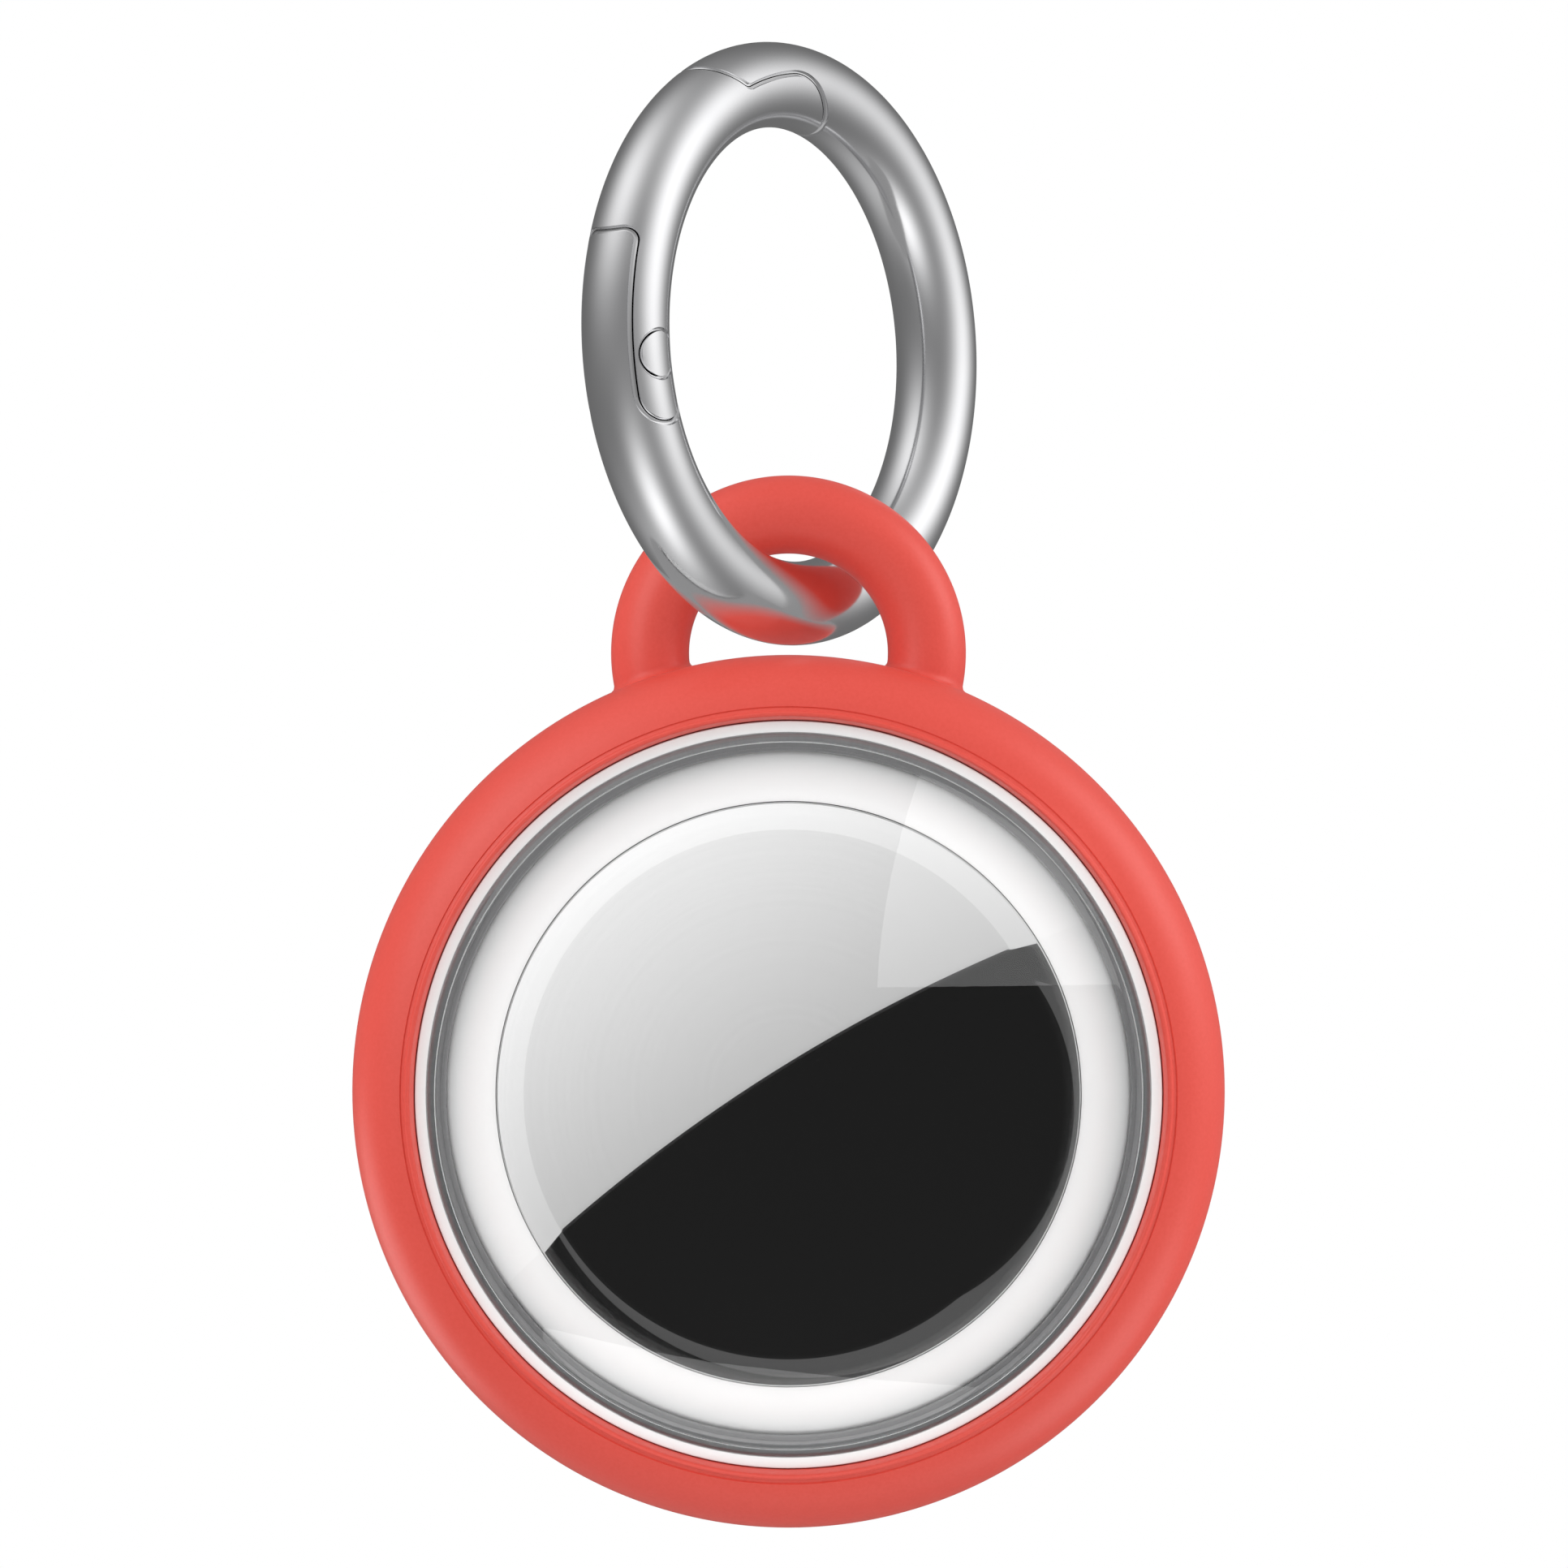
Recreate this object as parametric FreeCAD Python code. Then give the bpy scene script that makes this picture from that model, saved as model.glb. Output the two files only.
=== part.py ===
# Tracker tag holder: a moulded band with clear covers round a coin-cell tag, hung from a spring-gate ring.
# Millimetres. +Z is up, the window faces -Y, and the origin is the centre of the steel ring.

import math
import os

import FreeCAD
import Part

V = FreeCAD.Vector

# Steel ring
ring_outer_diameter = 26.9
ring_wire_diameter = 3.76
ring_turn = 53.0  # degrees about Z from face-on

# Gate hinge and lap
hinge_angle = 187.0  # place of the pin round the ring, degrees from its right-hand side
pin_diameter = 1.9
ear_wall = 0.46  # gate's ear at its middle
tongue_round = 0.6
tongue_reach = 5.4  # pin to the tongue's end
ear_reach = 2.97  # pin to the ends of the gate's ears
lap_reach = 13.6  # pin to the end of the body's outer lap
lap_height = 0.3  # lap seam above the wire's centre line
nose_reach = 17.0  # pin to the gate's tip
nose_corner = 0.8
gate_least_angle = 45.0  # the whole gate lies past this angle round the ring
seam_gap = 0.1
pin_running_gap = 0.05
pin_press_gap = 0.02

# Gate spring and plunger
spring_diameter = 1.2
spring_wire = 0.2
spring_wire_arcs = 12  # arcs in its round section
spring_pitch = 0.66
spring_turns = 5
turn_samples = 16  # points a turn that its gap to itself is measured at
plunger_length = 1.4
plunger_gap = 0.15
spring_bore_gap = 0.1

# Band and its loop
band_wall = 2.9  # covers' bore to the band's side
band_edge_rise = 0.85  # tag's front to the band's edge
band_side_margin = 0.45  # straight side past the loop's wire
band_corner_bulge = 0.6
lip_width = 0.55
lip_top_width = 0.25
lip_height = 0.2
lip_groove = 0.12
loop_wire_diameter = 3.5
loop_offset = 0.15  # loop centre above the band's side
loop_room = 0.49  # ring's wire above the band's side
loop_fillet = 0.25
foot_samples = 5  # points tried along an edge at the loop's feet
foot_slack = 0.02
hang_gap = 0.35  # loop above the ring's wire

# Clear covers
tag_clearance = 0.15  # tag to the band's bore
seat_width = 0.27  # shoulder that a cover's skirt stands on
seat_drop = 1.8  # tag's front to that shoulder
cover_fit = 0.05
cover_skirt = 0.45
flange_rise = 0.35  # tag's front to the flange
flange_width = 0.47
shoulder_run = 0.8
shoulder_rise = 0.7
window_crown = 0.4
window_thickness = 0.8
inner_corner_drop = 0.6  # tag's front to the start of the inner corner
inner_corner_run = 0.92

# Seals
seal_width = 0.77
seal_gap = 0.1
seal_seat_gap = 0.08
seal_drop = 0.65  # tag's front to the seal's top
seal_ridge_width = 0.22
seal_ridge_height = 0.22

# Tag shell
tag_diameter = 31.9
tag_thickness = 8.0
tag_wall = 1.0
tag_rim_width = 3.15  # disc's edge to the shell's widest place
front_shoulder_radius = 3.2
rear_shoulder_radius = 2.6

# Battery cover with its bayonet
disc_thickness = 0.35
disc_edge = 0.15
disc_gap = 0.12
disc_proud = 0.2  # above the shell's front
skirt_inset = 0.55  # disc edge to the skirt
skirt_wall = 0.55
tab_length = 0.45
tab_height = 0.45
tab_width = 20.0  # degrees
tab_count = 3
tab_first_angle = 40.0
bayonet_turn = 30.0  # degrees from shut to open
bayonet_gap = 0.15
bayonet_slack = 1.0  # degrees

# Battery tray
tray_wall = 0.45  # outside the bayonet grooves
tray_floor = 0.5
tray_gap = 0.15  # under the shell's shoulder
ledge_height = 0.5
moat_gap = 0.25  # round the cover's skirt
well_gap = 0.45
well_wall = 1.0
leaf_room = 0.4

# Coin cell
cell_top_gap = 0.1
cell_cap_inset = 1.4
cell_cap_height = 0.57
cell_cap_drop = 0.2
cell_gasket_width = 0.9
cell_joint_gap = 0.05

# Contacts
contact_thickness = 0.2
contact_width = 2.4
contact_gap = 0.12
contact_height = 1.6  # above the cell's underside
contact_angle = 50.0
contact_slot_gap = 0.1
leaf_thickness = 0.15
leaf_width = 2.0
leaf_leg_inset = 2.5  # from the cell's edge
leaf_overrun = 1.5  # past the cell's middle
leaf_tip_gap = 0.04

# Board and sounder
board_margin = 1.5  # inside the tray's edge
board_room = 0.35  # above the shell's dome
board_thickness = 0.5
board_gap = 0.05
board_hole_gap = 0.6  # round the voice coil
chip_gap = 0.15  # above the shell's dome
chip_inset = 0.5  # from the board's hole
shield_length = 5.0
shield_width = 2.5
shield_wall = 0.15
processor_size = 2.4
carrier_gap = 0.15
carrier_room = 0.55  # inside the shell's widest place
carrier_height = 1.2
magnet_inset = 2.5  # inside the leaf's leg
magnet_gap = 0.4  # above the shell's dome
coil_gap = 0.2
coil_wall = 0.5
coil_height = 1.0
coil_seat_gap = 0.05

# Sizes that follow: ring
ring_radius = (ring_outer_diameter - ring_wire_diameter) / 2
wire_radius = ring_wire_diameter / 2
pin_radius = pin_diameter / 2
tongue_width = ring_wire_diameter - 2 * (ear_wall + seam_gap)
cut_height = ring_wire_diameter  # half height of a cutter, well past the wire

# Sizes that follow: covers and band
tag_radius = tag_diameter / 2
tag_half = tag_thickness / 2
tag_bore = tag_radius + tag_clearance
cover_radius = tag_bore + seat_width
cover_inner = cover_radius - cover_skirt
cover_bore = cover_radius + cover_fit
seat_height = tag_half - seat_drop
flange_height = tag_half + flange_rise
shoulder_height = flange_height + shoulder_rise
inner_corner_height = tag_half - inner_corner_drop
seal_outer = cover_inner - seal_gap
seal_inner = seal_outer - seal_width
seal_top = tag_half - seal_drop
loop_wire_radius = loop_wire_diameter / 2
band_radius = cover_bore + band_wall
band_edge = tag_half + band_edge_rise
band_side = loop_wire_radius + band_side_margin
loop_radius = loop_wire_radius + hang_gap + ring_wire_diameter + loop_room - loop_offset
loop_rise = band_radius + loop_offset
arch_z = wire_radius - ring_radius + hang_gap + loop_wire_radius
case_z = arch_z - loop_radius - loop_rise

# Sizes that follow: tag, from its rim inwards to the coin cell
disc_radius = tag_radius - tag_rim_width
skirt_radius = disc_radius - skirt_inset
skirt_inner = skirt_radius - skirt_wall
tab_radius = skirt_radius + tab_length
ledge_radius = skirt_radius + bayonet_gap
groove_radius = tab_radius + bayonet_gap
tray_radius = groove_radius + tray_wall
well_outer = skirt_inner - moat_gap
well_radius = well_outer - well_wall
cell_radius = well_radius - well_gap
cap_radius = cell_radius - cell_cap_inset
leaf_leg_radius = cell_radius - leaf_leg_inset
magnet_radius = leaf_leg_radius - magnet_inset
coil_inner = magnet_radius + coil_gap
coil_outer = coil_inner + coil_wall
board_inner = coil_outer + board_hole_gap
board_outer = tray_radius - board_margin
chip_near = board_inner + chip_inset

# Sizes that follow: the shell's lens shape
front_centre = tag_radius - front_shoulder_radius
rear_centre = tag_radius - rear_shoulder_radius
rim_height = tag_half - disc_proud - front_shoulder_radius  # widest place above the tag's middle
dome_depth = tag_half + rim_height
dome_radius = rear_centre ** 2 + dome_depth ** 2 - rear_shoulder_radius ** 2
dome_radius = dome_radius / (2 * (dome_depth - rear_shoulder_radius))


def dome_inside(radius):
    # Height of the shell's inner face behind a given radius.
    return dome_radius - tag_half - math.sqrt((dome_radius - tag_wall) ** 2 - radius ** 2)


# Sizes that follow: heights in the tag, from the front and from the dome to the coin cell between them
shoulder_reach = tray_radius - front_centre
tray_top = rim_height + math.sqrt((front_shoulder_radius - tag_wall) ** 2 - shoulder_reach ** 2) - tray_gap
groove_top = tray_top - ledge_height
tab_top = groove_top - bayonet_gap / 2
tab_bottom = tab_top - tab_height
groove_bottom = tab_bottom - bayonet_gap / 2
moat_bottom = tab_bottom - moat_gap
board_bottom = dome_inside(board_outer) + board_room
board_top = board_bottom + board_thickness
floor_bottom = board_top + board_gap
floor_top = floor_bottom + tray_floor
cell_bottom = floor_top + leaf_room
cell_top = tag_half - disc_thickness - cell_top_gap
chip_bottom = dome_inside(math.hypot(chip_near + shield_width, shield_length / 2)) + chip_gap
chip_height = board_bottom - chip_bottom
magnet_bottom = dome_inside(magnet_radius) + magnet_gap


def turned(start, steps, first=0.0, sweep=360.0):
    # Turns a closed outline of radius and height about Z. A step of two numbers is a line to that point,
    # and a step of four is an arc through its first pair to its second.
    edges = []
    here = V(start[0], 0, start[1])
    for step in list(steps) + [start]:
        end = V(step[-2], 0, step[-1])
        if len(step) == 4:
            edges.append(Part.Arc(here, V(step[0], 0, step[1]), end).toShape())
        elif here.distanceToPoint(end) > 0:
            edges.append(Part.LineSegment(here, end).toShape())
        here = end
    face = Part.Face(Part.Wire(edges))
    solid = face.revolve(V(0, 0, 0), V(0, 0, 1), sweep)
    solid.rotate(V(0, 0, 0), V(0, 0, 1), first)
    return solid


def crown_arc(radius, edge, top):
    # The middle point of an arc centred on the axis, from its top out to a radius at the edge height.
    crown = top - edge
    ball = (radius ** 2 + crown ** 2) / (2 * crown)
    lean = math.asin(radius / ball) / 2
    return ball * math.sin(lean), top - ball * (1 - math.cos(lean))


def tube(outer, inner, low, high):
    return turned((inner, low), [(outer, low), (outer, high), (inner, high)])


def on_ring(angle):
    turn = math.radians(angle)
    return V(ring_radius * math.cos(turn), ring_radius * math.sin(turn), 0)


def post(centre, radius, half_height):
    return Part.makeCylinder(radius, 2 * half_height, centre - V(0, 0, half_height))


def tongue_form(gap):
    # The tongue's round plate with rounded rims, or the slot for it when a gap is given.
    plate = post(pin_place, tongue_reach + gap, tongue_width / 2 + gap)
    rims = [edge for edge in plate.Edges if isinstance(edge.Curve, Part.Circle)]
    return plate.makeFillet(tongue_round + gap, rims)


def sector(first, last):
    wedge = Part.makeCylinder(
        ring_outer_diameter, 2 * cut_height, V(0, 0, -cut_height), V(0, 0, 1), last - first
    )
    wedge.rotate(V(0, 0, 0), V(0, 0, 1), first)
    return wedge


# Steel ring, gate and hinge, drawn face-on with the ring's axis along Z

pin_place = on_ring(hinge_angle)
ring_torus = Part.makeTorus(ring_radius, wire_radius)


def is_nose_corner(edge, gap):
    # The upright edge where the lap seam meets the arc of the tip.
    middle = edge.CenterOfMass
    to_axis = math.hypot(middle.x, middle.y)
    to_pin = math.hypot(middle.x - pin_place.x, middle.y - pin_place.y)
    on_seam = abs(to_axis - ring_radius - lap_height - gap) < seam_gap / 2
    on_tip = abs(to_pin - nose_reach - gap) < seam_gap / 2
    return on_seam and on_tip and abs(edge.Length - 2 * cut_height) < seam_gap


def gate_room(gap):
    # The prism that the gate fills, widened by a gap: its arc, its rounded tail and its nose under the lap.
    # Each end is an arc about the pin, so the gate swings inwards past the body.
    reach = sector(gate_least_angle, hinge_angle)
    arc = reach.common(post(pin_place, lap_reach + gap, cut_height))
    tail = post(pin_place, ear_reach + gap, cut_height)
    nose = post(V(0, 0, 0), ring_radius + lap_height + gap, cut_height)
    nose = nose.common(post(pin_place, nose_reach + gap, cut_height)).common(reach)
    corners = [edge for edge in nose.Edges if is_nose_corner(edge, gap)]
    nose = nose.makeFillet(nose_corner + gap, corners)
    return arc.fuse([tail, nose])


def make_ring_body():
    tongue = ring_torus.common(tongue_form(0))
    body = ring_torus.cut(gate_room(seam_gap)).fuse(tongue)
    body = body.cut(post(pin_place, pin_radius + pin_press_gap, cut_height))
    return body.removeSplitter()


def bore_line():
    # A chord of the wire's centre line, from the tongue's end into the gate.
    first = hinge_angle - 2 * math.degrees(math.asin(tongue_reach / (2 * ring_radius)))
    start = on_ring(first)
    end = on_ring(first - math.degrees(bore_length / ring_radius))
    return start, (end - start).normalize()


spring_length = spring_turns * spring_pitch + spring_wire
bore_length = plunger_gap + plunger_length + spring_length + spring_bore_gap
bore_start, bore_direction = bore_line()


def make_gate():
    gate = ring_torus.common(gate_room(0))
    gate = gate.cut(tongue_form(seam_gap))
    gate = gate.cut(post(pin_place, pin_radius + pin_running_gap, cut_height))
    bore_radius = spring_diameter / 2 + spring_bore_gap
    mouth = bore_start - bore_direction * wire_radius
    bore = Part.makeCylinder(bore_radius, bore_length + wire_radius, mouth, bore_direction)
    return gate.cut(bore).removeSplitter()


def make_gate_pin():
    return ring_torus.common(post(pin_place, pin_radius, cut_height))


def along_bore(shape, distance):
    shape.Placement = FreeCAD.Placement(
        bore_start + bore_direction * distance, FreeCAD.Rotation(V(0, 0, 1), bore_direction)
    )
    return shape


def make_gate_plunger():
    radius = spring_diameter / 2
    plunger = turned(
        (0, 0),
        [(radius * math.sin(math.pi / 4), radius * (1 - math.cos(math.pi / 4)), radius, radius),
         (radius, plunger_length), (0, plunger_length)],
    )
    return along_bore(plunger, plunger_gap)


def make_gate_spring():
    # Quarter-turn arcs on a helix, swept as one round wire.
    coil_radius = (spring_diameter - spring_wire) / 2
    quarter = math.pi / 2

    def at(turn):
        rise = spring_pitch * turn / (2 * math.pi) + spring_wire / 2
        return V(coil_radius * math.cos(turn), coil_radius * math.sin(turn), rise)

    arcs = []
    for step in range(4 * spring_turns):
        begin = step * quarter
        arc = Part.Arc(at(begin), at(begin + quarter / 2), at(begin + quarter))
        arcs.append(arc.toShape())
    path = Part.Wire(arcs)
    tangent = arcs[0].tangentAt(arcs[0].FirstParameter)
    outwards = V(1, 0, 0)
    across = tangent.cross(outwards).normalize()

    def rim(turn):
        return at(0) + (outwards * math.cos(turn) + across * math.sin(turn)) * (spring_wire / 2)

    part_turn = 2 * math.pi / spring_wire_arcs
    section = []
    for step in range(spring_wire_arcs):
        begin = step * part_turn
        section.append(Part.Arc(rim(begin), rim(begin + part_turn / 2), rim(begin + part_turn)).toShape())
    spring = path.makePipeShell([Part.Wire(section)], True, False)

    samples = [at(index * 2 * math.pi / turn_samples) for index in range(turn_samples * spring_turns + 1)]
    apart = [
        first.distanceToPoint(other)
        for place, first in enumerate(samples)
        for other in samples[place + turn_samples // 2:]
    ]
    print("gate spring: least gap to itself %.2f mm" % (min(apart) - spring_wire))
    return along_bore(spring, plunger_gap + plunger_length)


# Band, covers and seals, drawn face-on with the case's axis along Z and the window towards +Z

def is_loop_foot(edge):
    # An edge where the loop's wire meets the band: all of it lies on the wire, below the loop's centre.
    for point in edge.discretize(foot_samples):
        across = math.hypot(point.x, point.y - loop_rise) - loop_radius
        off_wire = abs(math.hypot(across, point.z) - loop_wire_radius)
        if point.y > loop_rise or off_wire > foot_slack:
            return False
    return True


def make_band():
    lip_outer = cover_bore + lip_width
    lip_top = band_edge + lip_height
    lip_near = cover_bore + (lip_width - lip_top_width) / 2
    lip_far = lip_near + lip_top_width
    lip_foot = band_edge - lip_groove
    run = band_radius - lip_outer
    fall = band_edge - band_side
    chord = math.hypot(run, fall)
    corner_r = lip_outer + run / 2 + band_corner_bulge * fall / chord
    corner_z = band_side + fall / 2 + band_corner_bulge * run / chord
    body = turned(
        (tag_bore, -seat_height),
        [(cover_bore, -seat_height),
         (cover_bore, -band_edge),
         (lip_near, -lip_top),
         (lip_far, -lip_top),
         (lip_outer, -lip_foot),
         (lip_outer, -band_edge),
         (corner_r, -corner_z, band_radius, -band_side),
         (band_radius, band_side),
         (corner_r, corner_z, lip_outer, band_edge),
         (lip_outer, lip_foot),
         (lip_far, lip_top),
         (lip_near, lip_top),
         (cover_bore, band_edge),
         (cover_bore, seat_height),
         (tag_bore, seat_height)],
    )
    loop = Part.makeTorus(loop_radius, loop_wire_radius, V(0, loop_rise, 0))
    core = post(V(0, 0, 0), (cover_bore + band_radius) / 2, band_radius)
    loop = loop.cut(core)
    band = body.fuse(loop).removeSplitter()
    feet = [edge for edge in band.Edges if is_loop_foot(edge)]
    return band.makeFillet(loop_fillet, feet)


def make_cover():
    window_radius = cover_radius - flange_width - shoulder_run
    shoulder = cover_radius - flange_width
    rise = shoulder_height - flange_height
    top = shoulder_height + window_crown
    under = top - window_thickness
    inner_window = cover_inner - inner_corner_run
    inner_edge = shoulder_height - window_thickness
    bend = math.sin(math.pi / 4)
    return turned(
        (cover_inner, seat_height),
        [(cover_radius, seat_height),
         (cover_radius, flange_height),
         (shoulder, flange_height),
         (window_radius + shoulder_run * bend, flange_height + rise * bend, window_radius, shoulder_height),
         (*crown_arc(window_radius, shoulder_height, top), 0, top),
         (0, under),
         (*crown_arc(inner_window, inner_edge, under), inner_window, inner_edge),
         (cover_inner, inner_corner_height)],
    )


def make_rear_cover():
    cover = make_cover()
    cover.rotate(V(0, 0, 0), V(1, 0, 0), 180)
    return cover


def make_front_seal():
    reach = seal_inner - front_centre
    bottom = rim_height + math.sqrt(front_shoulder_radius ** 2 - reach ** 2) + seal_seat_gap
    middle = (seal_inner + seal_outer) / 2
    return turned(
        (seal_inner, bottom),
        [(seal_outer, bottom),
         (seal_outer, seal_top),
         (middle + seal_ridge_width / 2, seal_top),
         (middle, seal_top + seal_ridge_height),
         (middle - seal_ridge_width / 2, seal_top),
         (seal_inner, seal_top)],
    )


def make_rear_seal():
    reach = seal_inner - rear_centre
    front = rim_height - math.sqrt(rear_shoulder_radius ** 2 - reach ** 2) - seal_seat_gap
    return tube(seal_outer, seal_inner, -seal_top, front)


# Tag, in the same frame as the case

def tag_form(inset):
    # The tag's lens shape, drawn in from the outside by an even inset.
    front = front_shoulder_radius - inset
    rear = rear_shoulder_radius - inset
    dome = dome_radius - inset
    dome_z = dome_radius - tag_half
    lean = math.asin(rear_centre / (dome_radius - rear_shoulder_radius))
    middle = (lean + math.pi / 2) / 2
    bend = math.sin(math.pi / 4)
    return turned(
        (0, dome_z - dome),
        [(dome * math.sin(lean / 2), dome_z - dome * math.cos(lean / 2),
          dome * math.sin(lean), dome_z - dome * math.cos(lean)),
         (rear_centre + rear * math.sin(middle), rim_height - rear * math.cos(middle),
          tag_radius - inset, rim_height),
         (front_centre + front * bend, rim_height + front * bend, front_centre, rim_height + front),
         (0, rim_height + front)],
    )


def make_tag_shell():
    mouth = Part.makeCylinder(disc_radius + disc_gap, tag_thickness, V(0, 0, rim_height))
    return tag_form(0).cut(tag_form(tag_wall)).cut(mouth)


def make_battery_cover():
    under = tag_half - disc_thickness
    bend = math.sin(math.pi / 4)
    cover = turned(
        (0, under),
        [(skirt_inner, under),
         (skirt_inner, tab_bottom),
         (skirt_radius, tab_bottom),
         (skirt_radius, under),
         (disc_radius, under),
         (disc_radius, tag_half - disc_edge),
         (disc_radius - disc_edge * (1 - bend), tag_half - disc_edge * (1 - bend),
          disc_radius - disc_edge, tag_half),
         (0, tag_half)],
    )
    root = (skirt_inner + skirt_radius) / 2
    tabs = []
    for index in range(tab_count):
        first = tab_first_angle + index * 360 / tab_count
        outline = [(tab_radius, tab_bottom), (tab_radius, tab_top), (root, tab_top)]
        tabs.append(turned((root, tab_bottom), outline, first, tab_width))
    return cover.fuse(tabs).removeSplitter()


def make_battery_tray():
    tray = turned(
        (0, floor_bottom),
        [(tray_radius, floor_bottom),
         (tray_radius, tray_top),
         (ledge_radius, tray_top),
         (ledge_radius, moat_bottom),
         (well_outer, moat_bottom),
         (well_outer, tray_top),
         (well_radius, tray_top),
         (well_radius, floor_top),
         (0, floor_top)],
    )
    rooms = []
    for index in range(tab_count):
        shut = tab_first_angle + index * 360 / tab_count - bayonet_slack
        root = ledge_radius - bayonet_gap / 2
        groove = [(groove_radius, groove_bottom), (groove_radius, groove_top), (root, groove_top)]
        sweep = tab_width + bayonet_turn + 2 * bayonet_slack
        rooms.append(turned((root, groove_bottom), groove, shut, sweep))
        above = tray_top + bayonet_gap
        entry = [(groove_radius, groove_bottom), (groove_radius, above), (root, above)]
        rooms.append(turned((root, groove_bottom), entry, shut + bayonet_turn, tab_width + 2 * bayonet_slack))
    tray = tray.cut(rooms)
    slots = [contact_strip(side, contact_slot_gap, floor_bottom, floor_top) for side in (-1, 1)]
    slots.append(leaf_leg(contact_slot_gap, floor_bottom, floor_top))
    return tray.cut(slots)


def make_cell_can():
    joint_radius = cap_radius + cell_gasket_width + 2 * cell_joint_gap
    joint_top = cell_bottom + cell_cap_height + cell_joint_gap
    return turned(
        (0, joint_top),
        [(joint_radius, joint_top),
         (joint_radius, cell_bottom + cell_cap_drop),
         (cell_radius, cell_bottom + cell_cap_drop),
         (cell_radius, cell_top),
         (0, cell_top)],
    )


def make_cell_gasket():
    inner = cap_radius + cell_joint_gap
    return tube(inner + cell_gasket_width, inner, cell_bottom + cell_cap_drop, cell_bottom + cell_cap_height)


def make_cell_cap():
    return Part.makeCylinder(cap_radius, cell_cap_height, V(0, 0, cell_bottom))


def contact_strip(side, gap, low, high):
    # A strip beside the cell, or the slot round it when a gap is given.
    inner = cell_radius + contact_gap - gap
    width = contact_width + 2 * gap
    strip = Part.makeBox(contact_thickness + 2 * gap, width, high - low, V(inner, -width / 2, low))
    strip.rotate(V(0, 0, 0), V(0, 0, 1), side * contact_angle)
    return strip


def make_positive_contacts():
    top = cell_bottom + contact_height
    return Part.makeCompound([contact_strip(side, 0, board_top, top) for side in (-1, 1)])


def leaf_leg(gap, low, high):
    thickness = leaf_thickness + 2 * gap
    width = leaf_width + 2 * gap
    return Part.makeBox(thickness, width, high - low, V(-leaf_leg_radius - gap, -width / 2, low))


def make_negative_contact():
    # A leg through the tray's floor, and a sloping leaf up to the cell's cap.
    foot = floor_top + leaf_tip_gap
    tip = cell_bottom - leaf_tip_gap
    corners = [
        V(-leaf_leg_radius, -leaf_width / 2, foot),
        V(leaf_overrun, -leaf_width / 2, tip - leaf_thickness),
        V(leaf_overrun, -leaf_width / 2, tip),
        V(-leaf_leg_radius, -leaf_width / 2, foot + leaf_thickness),
    ]
    leaf = Part.Face(Part.makePolygon(corners + corners[:1])).extrude(V(0, leaf_width, 0))
    return leaf.fuse(leaf_leg(0, board_top, foot + leaf_thickness)).removeSplitter()


def make_circuit_board():
    return tube(board_outer, board_inner, board_bottom, board_top)


def make_shield_can():
    corner = V(chip_near, -shield_length / 2, chip_bottom)
    can = Part.makeBox(shield_width, shield_length, chip_height, corner)
    inside = Part.makeBox(
        shield_width - 2 * shield_wall,
        shield_length - 2 * shield_wall,
        chip_height - shield_wall,
        corner + V(shield_wall, shield_wall, shield_wall),
    )
    return can.cut(inside)


def make_processor():
    corner = V(-chip_near - processor_size, -processor_size / 2, chip_bottom)
    return Part.makeBox(processor_size, processor_size, chip_height, corner)


def make_antenna_carrier():
    low = rim_height - carrier_height / 2
    return tube(tag_radius - tag_wall - carrier_room, tray_radius + carrier_gap, low, low + carrier_height)


def make_speaker_magnet():
    return Part.makeCylinder(magnet_radius, floor_bottom - magnet_bottom, V(0, 0, magnet_bottom))


def make_voice_coil():
    low = dome_inside(coil_outer) + coil_seat_gap
    return tube(coil_outer, coil_inner, low, low + coil_height)


# Stand each piece up in the object's own frame and write it

def stand_in_ring(shape):
    shape.rotate(V(0, 0, 0), V(1, 0, 0), 90)
    shape.rotate(V(0, 0, 0), V(0, 0, 1), ring_turn)
    return shape


def stand_in_case(shape):
    shape.rotate(V(0, 0, 0), V(1, 0, 0), 90)
    shape.translate(V(0, 0, case_z))
    return shape


ring_pieces = {
    "ring_body": make_ring_body,
    "gate_pin": make_gate_pin,
    "gate": make_gate,
    "gate_plunger": make_gate_plunger,
    "gate_spring": make_gate_spring,
}
case_pieces = {
    "band": make_band,
    "front_cover": make_cover,
    "rear_cover": make_rear_cover,
    "front_seal": make_front_seal,
    "rear_seal": make_rear_seal,
    "tag_shell": make_tag_shell,
    "battery_cover": make_battery_cover,
    "battery_tray": make_battery_tray,
    "cell_can": make_cell_can,
    "cell_gasket": make_cell_gasket,
    "cell_cap": make_cell_cap,
    "positive_contacts": make_positive_contacts,
    "negative_contact": make_negative_contact,
    "circuit_board": make_circuit_board,
    "shield_can": make_shield_can,
    "processor": make_processor,
    "antenna_carrier": make_antenna_carrier,
    "speaker_magnet": make_speaker_magnet,
    "voice_coil": make_voice_coil,
}

os.makedirs("parts", exist_ok=True)
for name, make in ring_pieces.items():
    stand_in_ring(make()).exportStep("parts/%s.step" % name)
for name, make in case_pieces.items():
    stand_in_case(make()).exportStep("parts/%s.step" % name)
print("case centre at z = %.2f mm, loop arch at z = %.2f mm" % (case_z, arch_z))
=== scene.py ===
import math

import bmesh
import bpy
from mathutils import Matrix, Vector


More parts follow.
